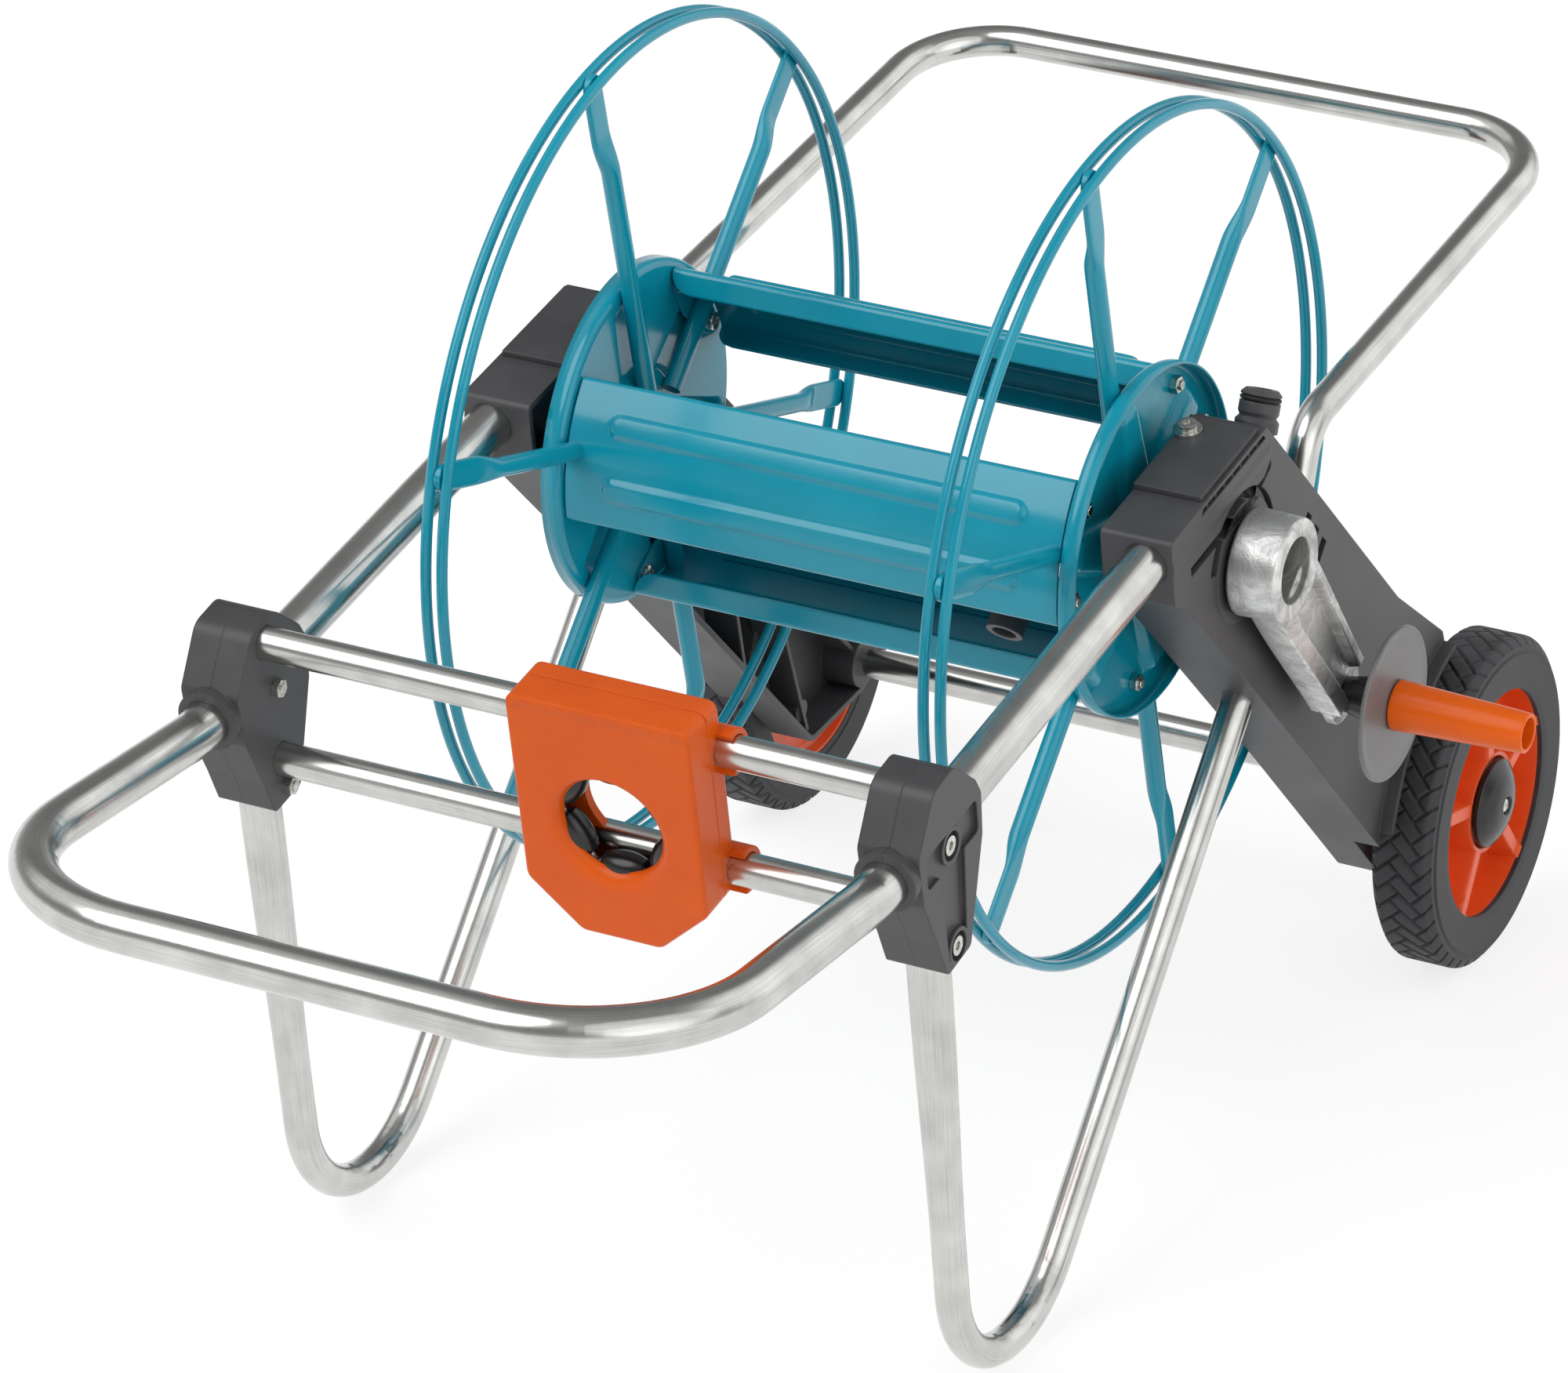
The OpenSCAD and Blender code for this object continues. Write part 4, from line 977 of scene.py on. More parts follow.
@dataclass
class TubeFrame:
    """Bent steel tubes: front loop, two legs, pull handle, crossbars and axle tube."""

    thick: float = 11.0
    thin: float = 8.0
    floor: float = -323.0
    leg_front: float = 8.4
    leg_rear: float = 47.7
    axle: tuple[float, float] = (268.0, -237.0)
    axle_half: float = 150.0
    loop_end: float = 18.0
    loop_kink: float = -345.0
    loop_nose: tuple[float, float] = (-535.0, -17.0)
    loop_bends: tuple[float, float] = (60.0, 83.0)
    handle_foot: tuple[float, float] = (79.0, -36.0)
    handle_elbow: tuple[float, float] = (101.0, 28.3)
    handle_nose: tuple[float, float] = (396.0, 69.6)
    handle_bends: tuple[float, float] = (26.0, 50.0)
    leg_top: tuple[float, float] = (-308.0, -42.0)
    leg_end: tuple[float, float] = (62.0, -52.6)
    pressed: tuple[float, float] = (5.3, 10.2)
    pressed_to: float = 30.0
    round_from: float = 175.0
    bar_u: float = -307.5
    bars: tuple[tuple[str, float, float], ...] = (
        ("upper_crossbar", 26.0, 170.0),
        ("lower_crossbar", -38.0, 163.0),
    )

    def hoop(self, side: Sequence[np.ndarray], radii: Sequence[float]) -> np.ndarray:
        """Path up one side, across and back down the other, from the side's (y, z) corners.

        Args:
            side: Corners of the right side, from its foot to the cross part.
            radii: Bend radius at each corner after the foot.

        Returns:
            Points of the path.
        """
        right = np.array([[STRAND.x, *p] for p in side])
        left = right[::-1] * vec(-1, 1, 1)
        path = rounded_path(np.vstack([right, left]), [*radii, *radii[::-1]])
        return divided(path, 6.0)

    def leg_path(self) -> np.ndarray:
        """Path of the right leg: down, round a bend that touches the floor, and up to the housing."""
        top, end = STRAND.point(*self.leg_top), vec(*self.leg_end)
        a, b = math.radians(self.leg_front), math.radians(self.leg_rear)
        down, rise = vec(math.sin(a), -math.cos(a)), vec(math.cos(b), math.sin(b))
        reach = np.linalg.solve(np.stack([down, -rise], 1), end - top)
        corner = top + down * reach[0]
        turn = math.acos(float(down @ rise))
        lift = unit(rise - down)[1] / math.cos(turn / 2)
        bend = (self.thin + self.floor - corner[1]) / (lift - 1)
        flat = rounded_path(np.array([top, corner, end]), [bend])
        return divided(np.column_stack([np.full(len(flat), STRAND.x), flat]), 4.0)

    def leg(self) -> Shell:
        """The right leg: round, but pressed to a flat oval of 20 by 11 mm where the clamp holds it."""
        path = self.leg_path()
        s = np.concatenate([[0], np.cumsum(np.linalg.norm(np.diff(path, axis=0), axis=1))])
        t = ease(s, self.pressed_to, self.round_from)
        across, along = (half + (self.thin - half) * t for half in self.pressed)
        return sweep(path, oval(across, along, 3.4 - 1.4 * t, 40), vec(1, 0, 0))

    def build(self, cart: Cart) -> None:
        """Builds all the tubes."""
        fall = self.loop_kink * math.tan(math.radians(STRAND.slope))
        kink = vec(self.loop_kink, STRAND.height + fall)
        loop = self.hoop([STRAND.point(self.loop_end, 0), kink, vec(*self.loop_nose)], self.loop_bends)
        cart.piece("front_loop_tube", tube(loop, self.thick, STRAND.up, 48), PLATED, ["front_loop"])
        corners = [vec(*at) for at in (self.handle_foot, self.handle_elbow, self.handle_nose)]
        handle = self.hoop(corners, self.handle_bends)
        cart.piece("handle_tube", tube(handle, self.thin, STRAND.up), PLATED, ["handle"])
        for side in Side:
            name = side.name.lower() + "_leg"
            cart.piece(name + "_tube", self.leg().on(side), PLATED, [name])
        for name, w, half in self.bars:
            path = divided(np.array([STRAND.at(x, self.bar_u, w) for x in (-half, half)]), 20.0)
            cart.piece(name + "_tube", tube(path, self.thin, STRAND.up), PLATED, [name])
        path = divided(np.array([[x, *self.axle] for x in (-self.axle_half, self.axle_half)]), 20.0)
        cart.piece("axle_tube_bar", tube(path, self.thin, vec(0, 0, 1)), PLATED, ["axle_tube"])
        cart.finish_nodes(ZINC, "axle_rod_bar")


@dataclass
class WireReel:
    """The winding reel: two double wire rings on spokes, pressed flanges and three pressed staves."""

    ring: float = 205.0
    wire: float = 2.65
    ring_x: float = 128.6
    half_gap: float = 4.3
    spokes: int = 6
    phase: float = 45.0
    spoke: float = 4.75
    spoke_x: float = 126.0
    face_x: float = 130.75
    sheet: float = 1.2
    disc: float = 85.0
    lip: float = 9.8
    bore: float = 19.0
    drum: float = 81.0
    drum_half: float = 26.0
    fold: float = 12.5
    screw_r: float = 73.5
    screw_at: float = 17.0
    screw_head: float = 4.6
    blade_half: float = 7.0
    blade_from: tuple[float, float] = (153.0, 174.0)
    trough: float = 4.5
    trough_half: float = 5.4
    trough_draft: float = 5.5
    trough_r: tuple[float, float, float, float] = (28.0, 36.0, 71.0, 78.0)
    rib: float = 2.1
    rib_at: float = 11.0
    rib_half: tuple[float, float] = (3.4, 6.9)
    rib_end: float = 26.0
    stave_corner: float = 11.0

    def rings(self) -> Shell:
        """The right side's two rings: round wire along two circles."""
        one = tube(around_x(0, self.ring, full_turn(240)), self.wire, vec(1, 0, 0), 20, True)
        near, far = (one.moved(vec(self.ring_x + k * self.half_gap, 0, 0)) for k in (-1, 1))
        return near.plus(far)

    def one_spoke(self) -> Shell:
        """A spoke along Y: round tube that eases to a flat blade with a half-round end.

        The blade lies between the two rings, and its half width follows a circle at its end.
        """
        end, half = self.ring + 3.0, self.blade_half
        tip = end - half + half * np.sin(np.radians(np.linspace(0, 89.5, 10)))
        round_part, easing, flat = (24, 150, 14), (153, 176, 14), (180, end - 8, 6)
        runs = [np.linspace(*run) for run in (round_part, easing, flat)]
        s = np.concatenate([*runs, tip])
        t = ease(s, *self.blade_from)
        wide = self.spoke + (half - self.spoke) * t
        thick = self.spoke + (self.half_gap - self.wire - self.spoke) * t
        close = np.sqrt(np.clip(1 - (np.clip(s - end + half, 0, None) / half) ** 2, 1e-4, 1))
        path = np.column_stack([self.spoke_x + (self.ring_x - self.spoke_x) * t, s, 0 * s])
        return sweep(path, oval(wide * close, thick, 2.0 + 3.0 * t, 28), vec(1, 0, 0))

    def spokes_of_side(self) -> Shell:
        """All six spokes of the right side."""
        one = self.one_spoke()
        turns = [one.turned(self.phase + i * 360 / self.spokes) for i in range(self.spokes)]
        return turns[0].plus(*turns[1:])

    def flange(self) -> Shell:
        """The right flange: a disc with a turned-out rim and a pressed trough behind each spoke.

        The trough's depth is multiplied by one minus an eased step of the distance from the
        spoke's middle line; it widens towards the hub and fades out at the hub and the rim.
        """
        x1, bend_r = self.face_x + self.lip, 80.0
        turn = np.array([[self.face_x, bend_r], [self.face_x, self.disc], [x1, self.disc]])
        arc = rounded_path(turn, [3.6])
        flat = np.column_stack([np.full(40, self.face_x), np.linspace(self.bore, bend_r, 40)])
        profile = np.vstack([flat, arc[1:]])
        t = full_turn(432)
        r = profile[:, 1:]
        step = TAU / self.spokes
        off = (t - math.radians(self.phase) + step / 2) % step - step / 2
        near = np.abs(r * np.sin(off)[None])
        width = self.trough_half + np.clip(70.0 - r, 0, 50) * 0.12
        hub_from, hub_to, rim_from, rim_to = self.trough_r
        ends = ease(r, hub_from, hub_to) * (1 - ease(r, rim_from, rim_to))
        x = profile[:, :1] + self.trough * (1 - ease(near - width, 0.0, self.trough_draft)) * ends
        return Shell.grid(around_x(x, r, t), False, True)

    def stave_outline(self) -> np.ndarray:
        """Cross-section of a stave, (y, z): a folded lip, the drum's arc and the other lip."""
        half = math.radians(self.drum_half)
        arc = np.linspace(-half * 0.86, half * 0.86, 49)
        ends = [np.array([math.cos(half), s * math.sin(half)]) for s in (-1, 1)]
        inner = self.drum - self.fold
        middle = np.column_stack([np.cos(arc), np.sin(arc)]) * self.drum
        first, last = ends
        corners = np.vstack([first * inner, first * self.drum, middle, last * self.drum, last * inner])
        return divided(rounded_path(corners, [3.0, *([0.0] * len(arc)), 3.0]), 1.2)

    def stave(self) -> Shell:
        """A pressed stave round Y: lips, two raised ribs with round ends, rounded corners.

        The ribs' height is multiplied by one minus an eased step of the distance from a
        straight line on each side of the middle. Columns crowd towards the stave's ends.
        """
        line = self.stave_outline()
        end = self.face_x - self.sheet
        x = np.linspace(-1, 1, 181)
        x = np.sign(x) * (1 - (1 - np.abs(x)) ** 1.35)
        s = np.concatenate([[0], np.cumsum(np.linalg.norm(np.diff(line, axis=0), axis=1))])
        s = np.abs(s - s[-1] / 2)
        corner = self.stave_corner
        into = np.clip(s - (s.max() - corner), 0, corner)
        cut = corner - np.sqrt(np.clip(corner**2 - into**2, 0, None))
        xs = x[:, None] * (end - cut)[None]
        radius, angle = np.hypot(line[:, 0], line[:, 1]), np.arctan2(line[:, 1], line[:, 0])
        across = (np.abs(angle) - math.radians(self.rib_at)) * self.drum
        beyond = np.clip(np.abs(xs) - (end - self.rib_end), 0, None)
        r = radius[None] + self.rib * (1 - ease(np.hypot(beyond, across[None]), *self.rib_half))
        return Shell.grid(around_x(xs, r, angle))

    def tabs(self) -> Shell:
        """The stave's two end plates, which the flange screws hold."""
        rows = [(60, -9, 4), (65, -27, 4), (74, -29.8, 1.5)]
        outline = [*rows, (79.6, 0, 60), *[(y, -z, r) for y, z, r in reversed(rows)]]
        plate = slab(rounded_profile(outline), self.face_x - self.sheet, self.face_x - 0.05, 0.25)
        return plate.plus(plate.mirrored())

    def screws(self, shape: Shell, x: float, faces_out: bool) -> Shell:
        """A copy of a screw or nut at every flange screw of both sides.

        Args:
            shape: The screw or nut, seated at x = 0 and pointing along +X.
            x: Where its seat lies on the right side.
            faces_out: Whether it points outwards, away from the drum.

        Returns:
            All of them as one surface.
        """
        one = (shape if faces_out else shape.mirrored()).moved(vec(x, self.screw_r, 0))
        angles = [self.phase + i * 120 + s * self.screw_at for i in range(3) for s in (-1, 1)]
        right = [one.turned(a) for a in angles]
        return right[0].plus(*right[1:], *[s.mirrored() for s in right])

    def build(self, cart: Cart) -> None:
        """Builds the reel."""
        for side in Side:
            label = side.name.lower()
            cart.piece(label + "_wire_rings", self.rings().on(side), TEAL, [label + "_rings"])
            cart.piece(label + "_spoke_set", self.spokes_of_side().on(side), TEAL, [label + "_spokes"])
            flange = self.flange().on(side)
            cart.piece(label + "_pressed_flange", flange, TEAL, [label + "_flange"], wall=self.sheet)
        for name, turn in (("front_stave", 120), ("rear_stave", 0), ("bottom_stave", 240)):
            sheet, tabs = (shell.turned(self.phase + turn) for shell in (self.stave(), self.tabs()))
            cart.piece(name + "_sheet", sheet, TEAL, [name], wall=self.sheet)
            cart.piece(name + "_tabs", tabs, TEAL, [name])
        heads = self.screws(pan_head(self.screw_head, 3.0, 0.9), self.face_x - self.sheet, False)
        cart.piece("stave_screw_heads", heads, ZINC, ["stave_screws"])
        nuts = self.screws(hex_nut(self.screw_head, 4.0, 2.4), self.face_x + self.sheet, True)
        cart.piece("stave_hex_nuts", nuts, ZINC, ["stave_nuts"])
        cart.finish_nodes(DARK, "reel_shaft", "left_bush", "right_bush", "shaft_cap", "hose_outlet")


@dataclass
class RoadWheel:
    """A tyre with a herringbone tread on a dished plastic rim, and its domed hub cap."""

    centre: tuple[float, float] = (268.0, -237.0)
    radius: float = 86.0
    x0: float = 175.0
    x1: float = 210.0
    rim: float = 62.0
    bar: float = 8.2
    groove: float = 1.7
    groove_half: tuple[float, float] = (0.35, 0.85)
    tread_depth: float = 5.5
    ribs: int = 5
    rib_phase: float = 0.4
    rib_half: float = 3.2
    pocket: float = 15.5
    pocket_r: tuple[float, float] = (26.0, 59.6)
    draft: float = 3.4
    cap: float = 23.0
    rod: float = 5.08

    def bars(self, around: np.ndarray, across: np.ndarray) -> np.ndarray:
        """Distance in mm to the nearest joint of a herringbone of bars twice as long as wide.

        The plane is cut into squares turned by 45 degrees. Along the diagonal, squares i and
        j belong to a bar lying one way where (i - j) mod 4 is 0 or 1, and the other way where
        it is 2 or 3, so the pattern repeats round the tyre.

        Args:
            around: Distance round the tyre, in mm.
            across: Distance across it.

        Returns:
            The distance, of the inputs' shape.
        """
        turns = round(TAU * self.radius / (self.bar * math.sqrt(2)))
        width = TAU * self.radius / turns / math.sqrt(2)
        p = (around + across) / math.sqrt(2) / width
        q = (around - across) / math.sqrt(2) / width
        i, j = np.floor(p), np.floor(q)
        k = (i - j) % 4
        lying = k < 2
        u = np.where(lying, p - i + k, p - i)
        v = np.where(lying, q - j, q - j + 3 - k)
        wide = np.where(lying, 2.0, 1.0)
        tall = np.where(lying, 1.0, 2.0)
        return np.minimum(np.minimum(u, wide - u), np.minimum(v, tall - v)) * width

    def tyre(self) -> Shell:
        """The tyre: a closed section turned round the axle, less the tread's grooves.

        Radius loses the groove's depth times one minus an eased step of the distance to the
        nearest joint, but only across the tread and its shoulders.
        """
        x0, x1, r = self.x0, self.x1, self.radius
        tread_from, middle = r - self.tread_depth, (x0 + x1) / 2
        side = [(2.0, self.rim - 3), (1.2, self.rim + 1), (0.6, r - 9), (1.6, r - 8.2), (1.4, r - 5.0)]
        corners = [
            (x0 + side[0][0], side[0][1], 0), *[(x1 - inset, at, 0) for inset, at in side],
            (x1 - 5.0, r, 3.0), (x0 + 5.0, r, 3.0), *[(x0 + inset, at, 0) for inset, at in side[:0:-1]],
        ]
        outline = rounded_profile(corners)
        ring = np.vstack([outline, outline[:1]])
        fine, coarse = (divided(ring, step)[:-1] for step in (0.85, 6.0))
        tread, wall = fine[fine[:, 1] > tread_from], coarse[coarse[:, 1] <= tread_from]
        line = np.vstack([wall[wall[:, 0] >= middle], tread, wall[wall[:, 0] < middle]])
        start = np.argmin(np.hypot(line[:, 0] - x0 - 2, line[:, 1] - self.rim + 3))
        line = np.roll(line, -start, axis=0)
        t = full_turn(640)
        joint = self.bars(t[None] * r, line[:, :1] - middle)
        cut = self.groove * (1 - ease(joint, *self.groove_half))
        radius = line[:, 1:] - cut * ease(line[:, 1:], r - 5.2, r - 3.6)
        return Shell.grid(around_x(line[:, :1], radius, t), True, True)

    def rim_face(self) -> Shell:
        """The rim's outer side: a height field over radius and angle.

        Walls rise from the floor of each pocket to the outer band, the hub ring and the radial
        ribs, as an eased step of the distance to the nearest of them.
        """
        x0, x1, rim = self.x0, self.x1, self.rim
        hub, band_r = self.pocket_r
        runs = [np.linspace(20, 33, 20), np.linspace(34, 52, 14), np.linspace(52.5, 60.4, 18)]
        r = np.concatenate([[9.0, 12.0], *runs, [60.9, 61.4, rim - 0.2, rim]])[:, None]
        t = full_turn(600)
        step = TAU / self.ribs
        off = (t - self.rib_phase + step / 2) % step - step / 2
        wall = np.minimum(r - hub, band_r - r)
        side = np.abs(r * np.sin(off)) - self.rib_half
        floor = ease(np.minimum(wall, side), 0.0, self.draft)
        band = 1.5 * (1 - ease(r, 57.5, 59.5))
        lip = ease(r, rim - 1.2, rim - 0.1) * 1.2
        x = x1 - 3.0 - band - lip - floor * self.pocket
        x = np.where(r < hub, x1 - 5.0 - 6.0 * (1 - ease(r, 22.5, 24.0)), x)
        face = Shell.grid(around_x(x, r, t), False, True)
        back = [
            (x1 - 4.2, rim, 0), (x0 + 2.5, rim, 0.8), (x0 + 2.5, 57.5, 0.8), (x0 + 9, 56, 3), (x0 + 9, 14, 2),
            (x0 - 2.3, 12, 0.8), (x0 - 2.3, self.rod, 0), (x1 - 11, self.rod, 0), (x1 - 11, 9, 0),
        ]
        return face.plus(revolve(rounded_profile(back, False), 150))

    def dome(self) -> Shell:
        """The hub cap: a shallow dome with a rounded rim and a countersunk hole for its screw."""
        x, r = self.x1 - 4.7, self.cap
        rows = [
            (x, 0, 0), (x, r, 0.6), (x + 2.6, r, 1.2), (x + 5.6, r * 0.8, 14), (x + 8.4, 12, 20),
            (x + 9.4, 5.0, 1.2), (x + 7.0, 3.9, 0.3), (x + 7.0, 0, 0),
        ]
        return revolve(rounded_profile(rows, False), 120)

    def build(self, cart: Cart) -> None:
        """Builds both wheels."""
        place = vec(0, *self.centre)
        tyre, rim, cap = (shell.moved(place) for shell in (self.tyre(), self.rim_face(), self.dome()))
        head = pan_head(3.5, 1.7, 0.8).moved(place + vec(self.x1 + 2.4, 0, 0))
        for side in Side:
            label = side.name.lower()
            cart.piece(label + "_tread_tyre", tyre.on(side), TYRE, [label + "_tyre"], sharp=50)
            cart.piece(label + "_dished_rim", rim.on(side), RIM_RED, [label + "_rim"], sharp=50)
            cart.piece(label + "_domed_cap", cap.on(side), GLOSS_BLACK, [label + "_hub_cap"])
        cart.piece("cap_screw_heads", head.plus(head.mirrored()), ZINC, ["cap_screws"])


@dataclass
class Crank:
    """The die-cast crank with its round boss and H-section arm, the guard disc and the grip."""

    angle: float = -49.5
    radius: float = 133.0
    x0: float = 189.0
    x1: float = 213.5
    boss: float = 26.0
    bore: float = 16.0
    arm_x0: float = 192.5
    arm_x1: float = 209.0
    disc_x: float = 226.0
    disc: float = 38.5
    pin: float = 5.0
    grip: float = 12.0
    grip_length: float = 68.0
    socket: float = 12.0
    arm_short: float = 9.0
    arm_half: tuple[float, float] = (20.5, 16.3)
    web_depth: float = 5.5
    rail: float = 5.2
    step: float = 5.0
    tongue_x: tuple[float, float] = (5.0, 10.5)
    tongue_half: float = 16.0
    tongue_past: float = 12.0

    def hub(self) -> Shell:
        """The boss: a ring with a slight draft and rounded rims, turned round the shaft."""
        rows = [
            (self.x0, self.bore, 0.5), (self.x0, self.boss - 0.2, 1.2), (self.x1, self.boss - 1.0, 1.6),
            (self.x1, self.bore + 0.2, 0.8),
        ]
        return revolve(rounded_profile(rows), 96, True)

    def arm(self) -> Shell:
        """The arm along Y: a channel between a wide and a thin rail, whose width tapers outwards.

        Every section is the same eight-cornered outline, whose half width shrinks by an eased
        step along the arm. Its web lies below the rails and runs out at the arm's end, short
        of the grip's axis.
        """
        s = np.concatenate([np.linspace(14, 44, 14), np.linspace(48, self.radius - self.arm_short, 24)])
        wide, narrow = self.arm_half
        half = wide - (wide - narrow) * ease(s, 20.0, self.radius)
        top, low, slant = self.arm_x1, self.arm_x0, 1.4
        web = top - self.web_depth * ease(s, 29.0, 35.0)
        inner, outer = self.rail + self.step - half, half - self.rail
        corners = [
            (low, -half), (top, -half), (top, inner), (web, inner + slant),
            (web, outer - slant), (top, outer), (top, half), (low, half),
        ]
        flat = [np.stack([np.broadcast_to(x, s.shape), z], -1) for x, z in corners]
        points = np.stack(flat, 1)
        along = np.repeat(s[:, None], points.shape[1], 1)
        return Shell.bar(np.stack([points[..., 0], along, points[..., 1]], -1))

    def tongue(self) -> Shell:
        """The thin end of the arm, which carries the grip: a plate with a half-round end."""
        start, half = self.radius - self.arm_short - 5.0, self.tongue_half
        turn = np.radians(np.linspace(-90, 90, 25))
        y = np.concatenate([[start], self.radius + self.tongue_past * np.cos(turn), [start]])
        z = np.concatenate([[-half], half * np.sin(turn), [half]])
        return Shell.bar(np.stack([np.stack([0 * y + self.arm_x0 + x, y, z], -1) for x in self.tongue_x]))

    def turned_on_grip(
        self, corners: Sequence[Sequence[float]], steps: int = 96, closed: bool = True
    ) -> Shell:
        """A profile of (x, radius, rounding) corners turned round the grip's axis.

        Args:
            corners: Its corners.
            steps: Points round the axis.
            closed: Whether the profile is a loop.

        Returns:
            The surface.
        """
        return self.at_grip(revolve(rounded_profile(corners, closed), steps, closed))

    def at_grip(self, shell: Shell) -> Shell:
        """Moves a shell made round the X axis to the grip's axis."""
        return shell.moved(vec(0, self.radius, 0)).turned(self.angle)

    def build(self, cart: Cart) -> None:
        """Builds the crank's pieces."""
        body = self.hub().plus(self.arm().turned(self.angle), self.tongue().turned(self.angle))
        cart.piece("cast_crank", body, CAST, ["crank"], bevel=0.9)
        foot, x, r, pin = self.arm_x0 + self.tongue_x[1], self.disc_x, self.disc, self.pin
        collar = [(foot, pin, 0), (foot, 8.6, 0.8), (x, 13, 0.5), (x, pin, 0)]
        cart.piece("grip_collar", self.turned_on_grip(collar, 64), GLOSS_BLACK, ["crank_collar"])
        guard = [
            (x, pin, 0), (x, r, 0.9), (x + 2.6, r - 0.3, 1.0),
            (x + 2.2, r - 5, 8), (x + 3, 14, 3), (x + 3, pin, 0),
        ]
        cart.piece("guard_disc", self.turned_on_grip(guard, 128), DISC, ["hand_guard"])
        x0, r, bore = x + 3.3, self.grip, pin + 0.08
        x1 = x0 + self.grip_length
        floor = x1 - self.socket
        sleeve = [
            (x0, bore, 0.3), (x0, r + 0.6, 1.2), (x0 + 5, r + 0.2, 8), (x0 + 26, r - 0.5, 60),
            (x1 - 9, r - 1.7, 8), (x1, r - 2.3, 0.8), (x1, r - 4.3, 0.7),
            (floor, r - 4.6, 0.6), (floor, bore, 0.0),
        ]
        cart.piece("grip_sleeve", self.turned_on_grip(sleeve), ORANGE, ["grip"])
        seat = floor + 0.3
        head = self.at_grip(pan_head(pin + 1.9, 3.4, 1.3).moved(vec(seat, 0, 0)))
        rod = [(self.arm_x0, 0, 0), (self.arm_x0, pin, 0.4), (seat, pin, 0), (seat, 0, 0)]
        cart.piece("grip_bolt", self.turned_on_grip(rod, 48, False).plus(head), ZINC, ["grip_pin"])


